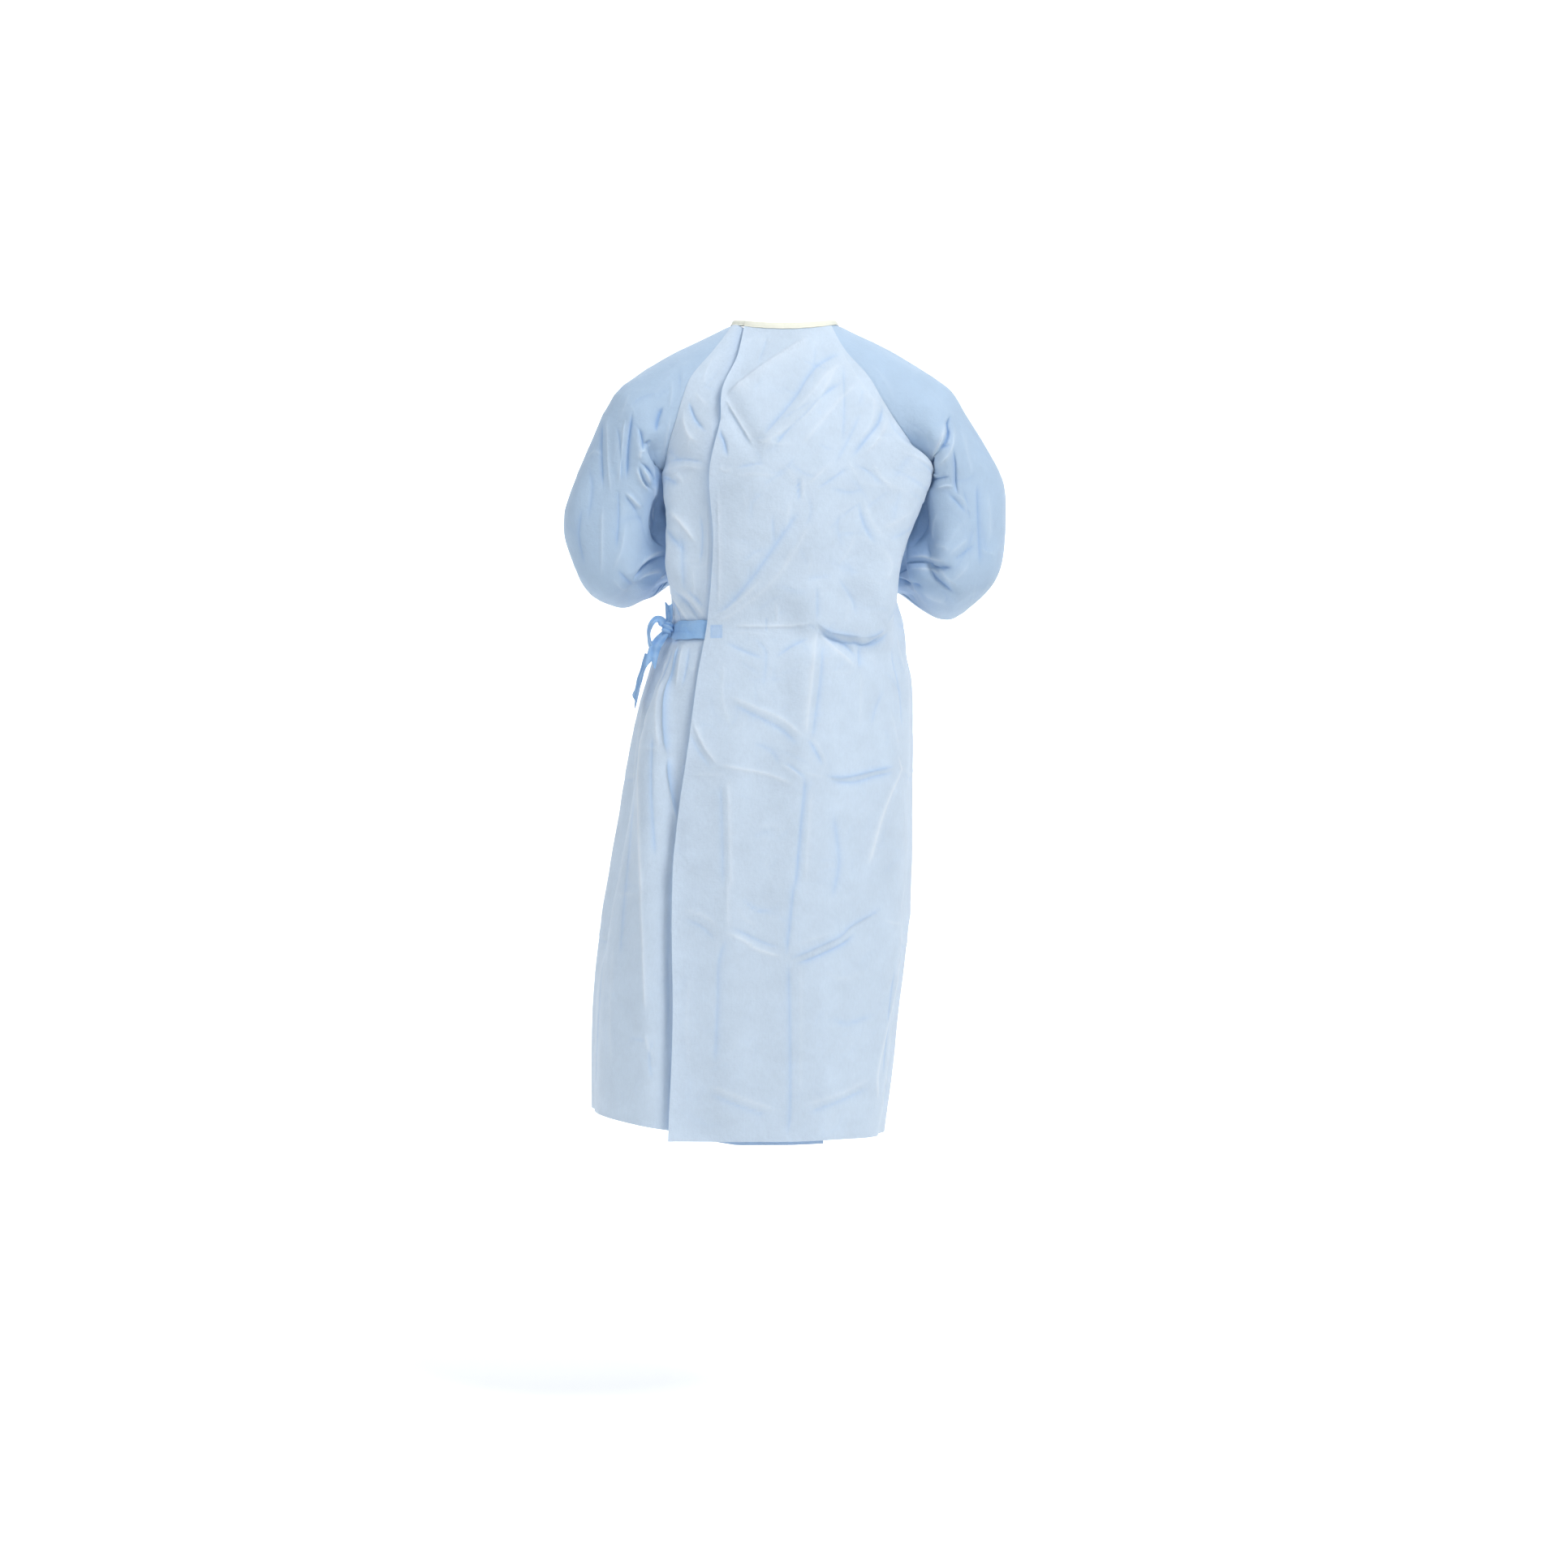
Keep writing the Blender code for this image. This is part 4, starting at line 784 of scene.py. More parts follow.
EDGE_LIFT = (  # by height, how far the free edge curls off the panel under it
    (-1.17, -0.70, -0.50, -0.44, -0.30, -0.20, -0.175, -0.150, -0.128, -0.110, -0.070, -0.035, -0.014),
    (0.003, 0.004, 0.003, 0.0005, 0.0015, 0.002, 0.0035, 0.0005, 0.007, 0.009, 0.006, 0.003, 0.0),
)

CURL_REACH = 0.016
SEWN_END = (-0.106, -0.087, -0.461, -0.440)  # x, height: where the tie sewn on underneath shows through
BACK_DRAWN = {"back": BACK_CREASES, "right": RIGHT_CREASES, "left": SIDE_CREASES}
OUTER_GRID = (434, 226)  # rows and points across
heights = row_heights(OUTER_GRID[0])
first = angle_at(read(WRAP, "outer_edge", heights), heights)
last = seam_angle("right", "back", heights) - SEAM_GAP
angles = spread(first, last, OUTER_GRID[1])
form, normal, large, small = body_relief(angles, heights[:, None], BACK_DRAWN)
edge_lift = np.interp(heights, *EDGE_LIFT)[:, None] * np.exp(-((form[..., 0] - form[:, :1, 0]) / CURL_REACH))
grid = form + normal * (large + small[..., 0] + edge_lift)[..., None]
x, z = form[..., 0], form[..., 2]
# Painted darker, in the painted shade colour, where the tie sewn on underneath shows through; the creases
# carry painted shade and highlight.
ramps = np.stack([x - SEWN_END[0], SEWN_END[1] - x, z - SEWN_END[2], SEWN_END[3] - z]) / 0.002
sewn = smoothstep(ramps).prod(axis=0) * (0.75 + 0.25 * (1 - smoothstep((ramps - 1.0) / 1.5).prod(axis=0)))
outer_panel = cloth(
    "back_outer_cloth", "back_panel_outer", grid, BODY_BLUE, painted_shading=small[..., 1], shade=sewn
)

# ----------------------------------------------------------------------------------------- inner back panel
# The wearer's left back panel, of the same cloth. It lies under the outer one past its free edge, and the
# ties pull it into gathers at the waist.
INNER_BELOW = 0.005  # the hidden part of its hem is this much lower
INNER_CREASES = crease_table("""
-131 -107 -120 -118 -106 -132 | 3 10.2 1.5
-138 -117 -126 -149 -109 -169 | 4.2 11.9 -3.3
-147 -132 -138 -167 -120 -187 | 4.2 13.6 2.4
-94 -111 -87 -116 -79 -121 | 3 3.6 -1.8
-97 -45 -110 -75 -117 -107 | 3.6 13.6 0.9
-105 -144 -101 -201 -103 -247 | 2.4 10.2 1.3
-171 -206 -143 -205 -109 -213 | 8.5 2.4 -1.8
-170 -215 -143 -214 -108 -221 | 2.4 8.5 1.5
-168 -220 -154 -229 -143 -240 | 3 10.2 -2.1
-158 -215 -147 -226 -138 -238 | 4 4.8 1.6
-166 -247 -152 -272 -145 -293 | 10.2 3 1.5
-146 -270 -136 -295 -124 -328 | 2.4 6 3.5 4.1
-160 -261 -152 -284 -150 -330 | 3 5 2.4 2.3
-152 -277 -147 -305 -133 -341 | 2.4 8.5 -2.1
-150 -279 -147 -316 -147 -362 | 4 4.8 1.6
-138 -305 -137 -351 -139 -397 | 8.5 2.4 -1.4
-121 -277 -118 -316 -121 -362 | 8.5 3 -1.5
-113 -259 -110 -316 -113 -408 | 2.4 8.5 1.3
-159 -293 -158 -351 -155 -397 | 4 4.8 -1.8
-129 -351 -128 -385 -132 -414 | 4 4.8 1.2
-159 -387 -147 -417 -138 -439 | 2 3 3 4.4
-161 -387 -154 -417 -150 -437 | 2 2.4 -3.8 -4.4
-154 -385 -136 -415 -123 -439 | 7 2 -4.6 -3
-147 -385 -131 -410 -113 -433 | 8.5 2.4 3
-138 -387 -124 -408 -107 -424 | 8.5 3 -2.4
-166 -404 -161 -420 -155 -438 | 2.5 3.6 2.4
-124 -404 -115 -420 -107 -433 | 4 4.8 1.6
-159 -466 -163 -484 -167 -502 | 2.5 3.6 2.4
-153 -463 -161 -491 -169 -530 | 3 3.6 -3.2
-147 -463 -152 -496 -159 -535 | 3 4.8 2.4
-138 -463 -141 -491 -150 -535 | 8.5 2.4 -1.8
-126 -466 -129 -500 -133 -546 | 3 8.5 1.5
-117 -466 -118 -500 -124 -537 | 4 4.8 -1.4
-167 -466 -177 -500 -187 -537 | 3 4.1 -2.4
-172 -472 -184 -507 -194 -548 | 4 3.6 2.6
-181 -491 -191 -523 -201 -569 | 4 4.8 -2.2
-187 -507 -200 -553 -207 -592 | 8.5 2.4 2.7
-143 -504 -120 -501 | 3 4.8 1.2
-156 -461 -164 -502 -170 -530 -172 -550 -172 -581 -170 -608 -167 -631 | 22 1.8 4.2 -3.8
-167 -622 -166 -652 -163 -678 -158 -709 -150 -744 | 22 1.8 4.6 -3.8
-156 -719 -152 -776 -152 -857 | 5.4 20 -1.4
-177 -507 -182 -548 -181 -592 -176 -627 | 3 6 1.6 2.6
-210 -555 -209 -615 -207 -696 -199 -836 | 8 5 3.4 4.4
-201 -813 -197 -914 -194 -1008 | 8 6 3 2.8
-195 -1036 -190 -1057 -182 -1070 | 3 6 2.6 3
-186 -592 -187 -684 -182 -776 | 4.8 13.6 -1.8
-223 -684 -230 -799 -237 -926 | 17 6 -1.2
-246 -903 -251 -1006 -248 -1098 | 6 17 0.9
-163 -776 -166 -914 -163 -1098 | 12 16 -1.7
-217 -613 -193 -617 -170 -622 | 3 8.5 0.9
-154 -631 -138 -636 -120 -631 | 3 10.2 1.2
-254 -829 -225 -827 -200 -831 | 3.6 10.2 0.9
-228 -1052 -202 -1048 -182 -1054 | 10.2 3.6 -0.7
-184 -1041 -189 -1075 -184 -1110 | 3 8.5 -1.1
""")
INNER_DRAWN = {"back": INNER_CREASES, "left": SIDE_CREASES}
TIE_WIDTH, TIE_HEIGHT = 0.026, -0.447
TUCK_REACH, TUCK_FREE, TUCK_SHARE = 0.050, 0.005, 0.45  # its width, and what is kept of it past 5 mm
INNER_GRID = (440, 124, 40)  # rows, and points across the part that shows and across the hidden part


def inner_skin(angle, height, creased=True):
    """The inner panel: level with the rest at its own seams, dipping under the outer edge over 50 mm, and
    close under the outer panel further on, where it takes that panel's creases and not its own."""
    angle, height = np.broadcast_arrays(np.asarray(angle, float), np.asarray(height, float))
    form, normal, large, small = body_relief(angle, height, INNER_DRAWN)
    x, edge = form[..., 0], read(WRAP, "outer_edge", height)
    seam = body_form(seam_angle("left", "back", height), height)[..., 0]
    reach = np.minimum(TUCK_REACH, (edge - seam) * 0.9)
    tuck = read(WRAP, "tuck", height)
    tuck = np.where(tuck > TUCK_FREE, TUCK_FREE + (tuck - TUCK_FREE) * TUCK_SHARE, tuck)
    depth = tuck * smoothstep((x - edge + reach) / reach)
    depth = depth - (tuck - np.minimum(tuck, TUCK_FREE)) * smoothstep((x - edge - 0.012) / TUCK_REACH)
    if creased:
        under = smoothstep((x - edge + 0.012) / 0.010)
        over = body_relief(angle, height, BACK_DRAWN)[3]
        pressed = 1 - 0.85 * np.exp(-(np.abs(height - TIE_HEIGHT) / 0.0135) ** 6) * (angle > -1.35)
        small = small * ((1 - under) * pressed)[..., None] + over * under[..., None]
    else:
        small = np.zeros_like(small)
    points = lifted(form + normal * (large + small[..., 0] - depth)[..., None], angle, height)
    low = smoothstep((-1.0 - height) / 0.15)
    points[..., 2] -= INNER_BELOW * smoothstep((x - edge) / 0.060) * low
    return points, normal, small


heights = row_heights(INNER_GRID[0])
first = seam_angle("left", "back", heights) + SEAM_GAP
last = angle_at(read(WRAP, "inner_edge", heights), heights)
edge = angle_at(read(WRAP, "outer_edge", heights), heights) + 0.06
shown, under = spread(first, edge, INNER_GRID[1]), spread(edge, last, INNER_GRID[2])
angles = np.concatenate([shown[:, :-1], under], axis=1)
grid, normal, small = inner_skin(angles, heights[:, None])
# Painted shade: darker close under the outer panel's free edge, and along the band where the tie lies on the
# panel.
gap = read(WRAP, "outer_edge", heights)[:, None] - body_form(angles, heights[:, None])[..., 0]
band = np.maximum(np.abs(heights[:, None] - TIE_HEIGHT) - TIE_WIDTH / 2, 0.0)
shaded = np.maximum(np.exp(-np.maximum(gap, 0.0) / 0.006), 0.8 * np.exp(-band / 0.003))
inner_panel = cloth(
    "back_inner_cloth", "back_panel_inner", grid, BODY_BLUE, painted_shading=small[..., 1], shade=shaded
)

# -------------------------------------------------------------------------------------------------- sleeves
# Raglan sleeves, cut in one piece each from a bluer and closer nonwoven and seamed under the arm. They are
# sewn under the body panels along the raglan seams and stand off the bent arms in soft crumples.
SLEEVE_COLUMNS = "x y z lean wide deep square sag squared"
SLEEVE_ROWS = {
    "right": """
0.2290  0.000 -0.1523 83.7 0.0642 0.096 2.8 0.000 0
0.2410  0.000 -0.1830 63.2 0.0549 0.090 2.6 0.000 0
0.2520  0.000 -0.2165 37.1 0.0539 0.084 2.4 0.000 0
0.2588 -0.004 -0.2490 16.0 0.0616 0.074 2.2 0.000 0
0.2558 -0.011 -0.2880  4.8 0.0660 0.061 2.0 0.000 0
0.2480 -0.014 -0.3480 -3.0 0.0662 0.061 2.0 0.003 0
0.2380  0.066 -0.3600  0.0 0.0580 0.058 2.0 0.006 1
0.2100  0.120 -0.3570  0.0 0.0500 0.052 2.0 0.008 1
0.1650  0.168 -0.3490  0.0 0.0430 0.045 2.0 0.005 1
0.1100  0.203 -0.3370  0.0 0.0360 0.037 2.0 0.002 1
0.0820  0.214 -0.3330  0.0 0.0310 0.031 2.0 0.000 1
""",
    "left": """
-0.2098  0.000 -0.1510 71.0 0.0680 0.096 2.8 0.000 0
-0.2195  0.000 -0.1785 51.5 0.0685 0.090 2.6 0.000 0
-0.2280  0.000 -0.2105 34.5 0.0680 0.084 2.4 0.000 0
-0.2355 -0.004 -0.2440 18.0 0.0710 0.074 2.2 0.000 0
-0.2415 -0.011 -0.2820  5.5 0.0772 0.061 2.0 0.000 0
-0.2440 -0.014 -0.3380 -3.0 0.0755 0.061 2.0 0.003 0
-0.2340  0.066 -0.3500  0.0 0.0580 0.056 2.0 0.005 1
-0.2060  0.120 -0.3460  0.0 0.0500 0.051 2.0 0.008 1
-0.1640  0.168 -0.3370  0.0 0.0430 0.045 2.0 0.005 1
-0.1100  0.203 -0.3280  0.0 0.0360 0.037 2.0 0.002 1
-0.0820  0.214 -0.3250  0.0 0.0310 0.031 2.0 0.000 1
""",
}
SLEEVES = {side: table(SLEEVE_COLUMNS, rows) for side, rows in SLEEVE_ROWS.items()}
NECK_SHARE, CROOK = 0.10, 0.30  # of the armhole that runs along the neck, and of the elbow that is pressed in
SLEEVE_GIRTH, SLEEVE_LENGTH = 0.42, 0.52
SLEEVE_FOLDS = """
0.36 0.10 0.42 0.36 0.012 -0.009
0.27 0.12 0.28 0.42 0.016  0.005
0.10 0.16 0.12 0.46 0.018  0.005
0.44 0.34 0.30 0.52 0.013 -0.009
0.56 0.40 0.34 0.60 0.012  0.006
0.62 0.50 0.44 0.68 0.010 -0.006
0.78 0.36 0.66 0.50 0.014 -0.008
0.90 0.20 0.80 0.44 0.016  0.005
"""
SLEEVE_LEFT_CREASES = crease_table("""
-150 -76 -148 -104 -151 -130 | 3 4.8 -1.6
-143 -72 -144 -100 -147 -123 | 3 3.6 1.4
-162 -83 -160 -111 -165 -137 | 4 4.8 1.2
-172 -127 -179 -146 -183 -167 | 3.6 13.6 -4.2
-160 -137 -167 -169 -174 -197 | 10.2 3 2
-208 -158 -204 -169 -202 -184 -203 -195 | 5 1.6 -5 -4.1
-201 -183 -196 -180 -190 -176 | 1.6 4 -3.9 -2.9
-197 -188 -204 -192 -206 -204 | 2.4 8.5 3.5
-209 -205 -200 -212 -191 -227 -189 -247 | 6 1.6 -6 -4.8
-208 -209 -203 -228 -191 -248 | 1.6 4 -4 -4.1
-204 -213 -198 -225 -194 -236 | 2 2 3.2 4.8
-212 -211 -204 -234 -194 -250 | 2 8.5 4.2
-190 -197 -189 -232 -186 -274 | 4 4.8 2.3
-184 -250 -187 -276 -189 -301 | 15 1.6 -11 -5.5
-190 -292 -181 -308 -168 -328 | 15 1.6 -10 -6
-179 -264 -175 -276 -173 -290 | 2 2 2.9 3.8
-216 -134 -222 -183 -225 -234 | 11.9 3.6 -3.8
-227 -141 -232 -197 -237 -243 | 3.6 10.2 2.2
-242 -151 -234 -183 -232 -239 | 8.5 3 -1.7
-261 -141 -263 -188 -259 -248 | 3 8.5 -2.5
-255 -137 -253 -197 -248 -257 | 8.5 3 1.7
-283 -199 -271 -190 -260 -199 | 2.4 8.5 1.5
-281 -209 -276 -243 -281 -290 | 13.6 3.6 -1.2
-229 -248 -216 -261 -203 -275 | 3 7 4.4 4.6
-231 -250 -220 -264 -209 -281 | 2 10.2 -2.2
-217 -269 -204 -292 -193 -318 -176 -328 | 5 15 -3.9 -1.9
-237 -239 -237 -290 -241 -336 | 3 10.2 -1.7
-227 -290 -234 -332 -248 -366 | 11.9 3.6 1.5
-260 -267 -262 -336 -264 -378 | 13.6 4.8 1.2
-218 -379 -203 -363 -188 -349 -162 -333 | 1.6 30 -17 -6.4
-167 -328 -188 -341 -209 -359 | 10.2 3 2.8
-160 -352 -183 -366 -209 -385 | 3.6 11.9 3.5
-241 -357 -227 -373 -211 -392 | 3.6 11.9 -2.2
-248 -373 -234 -387 -220 -399 | 10.2 3 1.5
-237 -415 -206 -405 -175 -385 | 2.4 8.5 -4.5
-288 -267 -295 -313 -290 -359 | 4.8 13.6 -1.5
-220 -100 -230 -127 -237 -151 | 13.6 4.8 1
""")
SLEEVE_RIGHT_CREASES = crease_table("""
225 -181 230 -183 234 -182 | 1.6 3 -3.1 -3.6
219 -192 224 -195 229 -192 | 1.6 2 3.1 3.6
213 -209 219 -212 225 -210 | 1.6 3 -3.1 -4.1
216 -224 222 -226 227 -223 | 2 1.6 2.9 3.6
240 -139 232 -154 232 -166 227 -184 | 5 1.6 -6 -5.5
235 -158 231 -174 226 -190 | 1.6 3 -4 -4.8
223 -189 215 -201 218 -210 213 -225 | 5 1.6 -6 -6.4
225 -195 223 -209 216 -220 | 2 3 -4.5 -6
215 -218 219 -230 212 -245 | 5 1.6 -5 -5.8
226 -162 223 -178 217 -194 | 2 2 2.6 3.4
226 -199 225 -211 220 -221 | 1.6 1.6 2.6 4.1
230 -151 223 -178 211 -204 | 2.4 17 3.1
244 -151 237 -185 225 -220 | 10.2 2.4 3.1
237 -182 244 -209 247 -243 253 -259 | 1.8 9 -4.4 -3.4
217 -233 227 -228 239 -226 | 1.6 4 -4.4 -3.6
220 -243 234 -239 246 -243 | 3 8.5 2.5
234 -249 248 -264 262 -281 | 8.5 3 -2.2
244 -248 258 -262 269 -283 | 3 8.5 1.7
255 -241 262 -267 267 -294 | 10.2 3.6 -1.2
223 -276 213 -299 209 -322 | 3.6 10.2 2
198 -315 204 -332 209 -346 | 2.4 8.5 -3.1
209 -322 227 -327 244 -334 | 3.6 10.2 1.7
165 -361 179 -349 193 -347 208 -349 | 1.6 4.5 -7 -6.4
194 -346 205 -349 215 -356 246 -357 | 1.6 9 -9 -6.4
179 -343 197 -340 216 -346 237 -350 | 8.5 3 4.2
183 -357 206 -359 225 -369 | 3 8.5 3.5
201 -348 212 -372 227 -383 249 -397 | 10 1.8 -6.5 -5.8
213 -350 234 -373 253 -385 | 3.6 10.2 2.8
167 -359 183 -372 200 -386 | 1.6 13 -9 -6.4
179 -375 182 -386 187 -397 | 1.6 5 -4 -4.1
181 -400 206 -412 240 -433 | 1.6 8 -7 -6.4
168 -388 179 -398 189 -407 | 1.6 5 -3.9 -3.8
195 -385 213 -404 239 -417 | 10.2 3.6 3.1
234 -342 251 -327 267 -314 | 3 8.5 2
241 -348 258 -336 276 -322 | 3 10.2 -1.7
267 -348 255 -366 237 -380 | 3.6 10.2 1.5
281 -329 292 -336 306 -336 | 2.4 8.5 1.5
276 -232 278 -290 281 -359 | 17 4.8 -1.7
290 -243 295 -290 292 -327 | 4.2 13.6 1.2
253 -151 262 -197 271 -232 | 15.3 4.8 1
204 -269 196 -299 179 -339 | 3 10.2 -3.5
""")


def armhole(side, turns):
    """The loop where a sleeve is sewn on: along the neck over the shoulder, down the back raglan seam to
    the armpit, and up the front one."""
    quarter = math.pi / 2 if side == "right" else -math.pi / 2
    share = np.minimum(turns, 1 - turns) * 2
    along_neck = np.clip(share / NECK_SHARE, 0.0, 1.0)
    height = ARMPIT + (NECK - ARMPIT) * np.clip((1 - share) / (1 - NECK_SHARE), 0.0, 1.0) ** 1.5
    seam = np.where(turns <= 0.5, seam_angle(side, "back", height), seam_angle(side, "front", height))
    return body_form(quarter + (seam - quarter) * along_neck, height)


def arm_rings(side, turns):
    """The rings of the table: ovals that fan round the armpit and then stand square to the arm, pressed in
    on the inside of the elbow and hanging a little on the underside. Returns them and the arm's
    directions."""
    columns, sign = SLEEVES[side], 1 if side == "right" else -1
    line = np.stack([columns["x"], columns["y"], columns["z"]], axis=-1)
    direction = unit(np.gradient(line, axis=0))
    bend = np.gradient(direction, axis=0)
    turn = 2 * math.pi * turns
    rings = []
    for k, middle in enumerate(line):
        lean = math.radians(columns["lean"][k])
        outward = np.array([sign * math.cos(lean), 0.0, math.sin(lean)])
        outward = unit(outward - columns["squared"][k] * direction[k] * (outward @ direction[k]))
        backward = unit(np.cross(direction[k], outward)) * sign
        exponent = 2 / columns["square"][k]
        spoke = power(np.cos(turn), exponent)[:, None] * outward * columns["wide"][k]
        spoke = spoke + power(np.sin(turn), exponent)[:, None] * backward * columns["deep"][k]
        inside = np.maximum(unit(spoke) @ unit(bend[k]), 0.0) * min(1.0, np.linalg.norm(bend[k]) * 2)
        spoke = spoke * (1 - CROOK * columns["squared"][k] * inside)[:, None]
        ring = middle + spoke
        ring[:, 2] -= columns["sag"][k] * np.maximum(-unit(spoke)[:, 2], 0.0)
        rings.append(ring)
    return np.array(rings), direction


def grid_normals(grid):
    """Unit normals of a grid that closes on itself across: the cross product of its two directions."""
    across = np.roll(grid, -1, axis=1) - np.roll(grid, 1, axis=1)
    return unit(np.cross(across, np.gradient(grid, axis=0)))


def sleeve_folds(turns, along):
    """The large folds of a sleeve: bells across lines drawn on the sleeve laid flat, where the table's
    places are shares of its girth and its length."""
    rows = table(FOLD_COLUMNS, SLEEVE_FOLDS)
    scales = (SLEEVE_GIRTH, SLEEVE_LENGTH, SLEEVE_GIRTH, SLEEVE_LENGTH, 1.0, 1.0)
    flat = {name: column * scale for (name, column), scale in zip(rows.items(), scales)}
    across, down = np.broadcast_arrays(turns[None] * SLEEVE_GIRTH, along[:, None] * SLEEVE_LENGTH)
    total = sum(fold_line(across + shift * SLEEVE_GIRTH, down, flat) for shift in (-1, 0, 1))
    return total * (smoothstep(along / 0.12) * smoothstep((1 - along) / 0.06))[:, None]


def mirrored(rows, shift):
    """Creases mirrored left to right about the gown's centre line, moved sideways and no deeper than 3 mm,
    in mm."""
    flipped = []
    for points, ahead, behind, depth, *painted_mark in rows:
        line = np.array(points, float).reshape(-1, 2)
        line[:, 0] = shift - line[:, 0]
        flipped.append((line.ravel(), behind, ahead, np.clip(depth * 0.8, -3, 3), *np.clip(painted_mark, -2, 2)))
    return flipped


TO_THE_BACK, TO_THE_CORNERS = 0.42, 0.6


def fine_turns(count):
    """Places round a sleeve, closer together on its back, and where the squared rings would spread them."""
    even = np.arange(count) / count
    even = even + TO_THE_BACK * (np.cos(2 * math.pi * even) - 1) / (2 * math.pi)
    return even - TO_THE_CORNERS * np.sin(8 * math.pi * even) / (8 * math.pi)


# The bluer sleeve cloth, then its painted shade colour and its painted highlight colour.
SLEEVE_BLUE = nonwoven(
    "nonwoven_sleeve", (0.470, 0.600, 0.755), (0.20, 0.38, 0.70), (0.80, 0.88, 0.96), cloudy=0.03
)
SLEEVE_DRAWN = {"left": SLEEVE_LEFT_CREASES, "right": SLEEVE_RIGHT_CREASES}
PRESSED_COLUMNS = "x z wide tall out"
SLEEVE_PRESSED = {  # mm: where, how wide and tall, and how far out the sleeve is pushed
    "left": """
-210  -79 45 45 -4.5
-250 -116 40 40   -4
-272 -165 35 50 -3.5
-285 -230 30 60 -2.5
-306 -371 45 45  -12
-314 -336 30 30   -5
-201 -415 28 25  -13
-158 -400 24 30  -32
-178 -236 16 26    9
-190 -208 22 30    8
""",
    "right": """
196  -69 45 40   -5
235 -100 40 40 -5.5
262 -150 35 45   -3
289 -400 32 32   -7
190 -420 28 25   -8
248 -429 15 15    3
203 -255 18 40   12
191 -236 12 18    7
160 -408 26 30  -21
224 -192 20 30   13
211 -180 18 26    7
208 -228 14 22    7
217 -218 12 24    7
""",
}
UNDER_FOREARM = (-395, 260)  # below and inside these, in mm, the sleeve is pushed from below only
SLEEVE_SHIFT = {"left": 12.0, "right": 8.0}  # mm, of the other sleeve's creases, mirrored on its front
SLEEVE_CRUMPLES, SLEEVE_CRUMPLED = 330, 1.15  # how many small creases, and how strong against the body's
SLEEVE_GRID = (300, 320)  # rings, and points round them
turns = fine_turns(SLEEVE_GRID[1])
for seed, side in enumerate(("left", "right")):
    sign = 1 if side == "right" else -1
    rings, loop = arm_rings(side, turns)[0], armhole(side, turns)
    leaving = unit(rings[0] - loop)
    stations = np.concatenate([(loop - leaving * 0.002)[None], rings])
    steps = np.linalg.norm(np.diff(stations, axis=0), axis=-1).mean(axis=1)
    knots = np.concatenate([[0.0], np.cumsum(steps)])
    along = np.interp(np.linspace(0.0, 1.0, SLEEVE_GRID[0]), (0.0, 0.82, 1.0), (0.0, 0.66, 1.0))
    grid = curve_through(along * knots[-1], knots, stations)
    normal = grid_normals(grid) * sign
    large = sleeve_folds(turns, along)
    hidden = mirrored(SLEEVE_DRAWN["left" if side == "right" else "right"], SLEEVE_SHIFT[side] * sign)
    facing, x, z = normal[..., 1:2], grid[..., 0], grid[..., 2]
    small = smoothstep((-facing - 0.1) / 0.3) * creases(x, z, SLEEVE_DRAWN[side])
    small += smoothstep((facing - 0.1) / 0.3) * creases(x, z, hidden)
    across, down = np.broadcast_arrays(turns[None] * SLEEVE_GIRTH, along[:, None] * SLEEVE_LENGTH)
    strewn = crumple(40 + seed, SLEEVE_CRUMPLES, (-20, 440), (0, 520))
    girths = (-SLEEVE_GIRTH, 0.0, SLEEVE_GIRTH)
    small += SLEEVE_CRUMPLED * sum(creases(across + girth, down, strewn) for girth in girths)
    small *= (smoothstep((along - 0.006) / 0.03) * smoothstep((1 - along) / 0.03))[:, None, None]
    length = along[:, None] * knots[-1]
    inward = 0.0007 * (1 - smoothstep((length - 0.0025) / 0.004))  # sewn under the body panels
    underside = smoothstep(-normal[..., 2] / 0.5)
    for at_x, at_z, wide, tall, out in zip(*table(PRESSED_COLUMNS, SLEEVE_PRESSED[side]).values()):
        share = underside if at_z < UNDER_FOREARM[0] and abs(at_x) < UNDER_FOREARM[1] else 1.0
        bell = np.exp(-(((x * 1000 - at_x) / wide) ** 2) - ((z * 1000 - at_z) / tall) ** 2)
        large += share * out / 1000 * bell
    # Painted shade: the side towards the body is painted darker below the armpit, where the body shades
    #     # it, but for a lit spot of the right forearm.
    shaded = smoothstep((-sign * normal[..., 0] - 0.15) / 0.7) * smoothstep((ARMPIT + 0.02 - z) / 0.03)
    shaded = 0.9 * shaded * smoothstep((0.235 - np.abs(x)) / 0.04)
    shaded = shaded * (1 - 0.8 * np.exp(-(((x - 0.200) / 0.026) ** 2) - ((z + 0.378) / 0.034) ** 2))
    grid = grid + normal * (large + small[..., 0] - inward)[..., None]
    sleeve = cloth(
        f"sleeve_{side}_cloth", f"sleeve_{side}", grid, SLEEVE_BLUE,
        closed=True, flip=side == "left", painted_shading=small[..., 1], shade=shaded,
    )

# ---------------------------------------------------------------------------------------------------- cuffs
# Cuffs of white rib knit about 1.2 mm thick, sewn inside the sleeves' ends and gripping the wrists.
CUFF_LENGTH, CUFF_WRIST, CUFF_START, CUFF_GRIP = 0.062, 0.0265, 0.95, 0.45
RIBS, RIB_DEPTH, CUFF_KNIT = 60, 0.00045, 0.0011


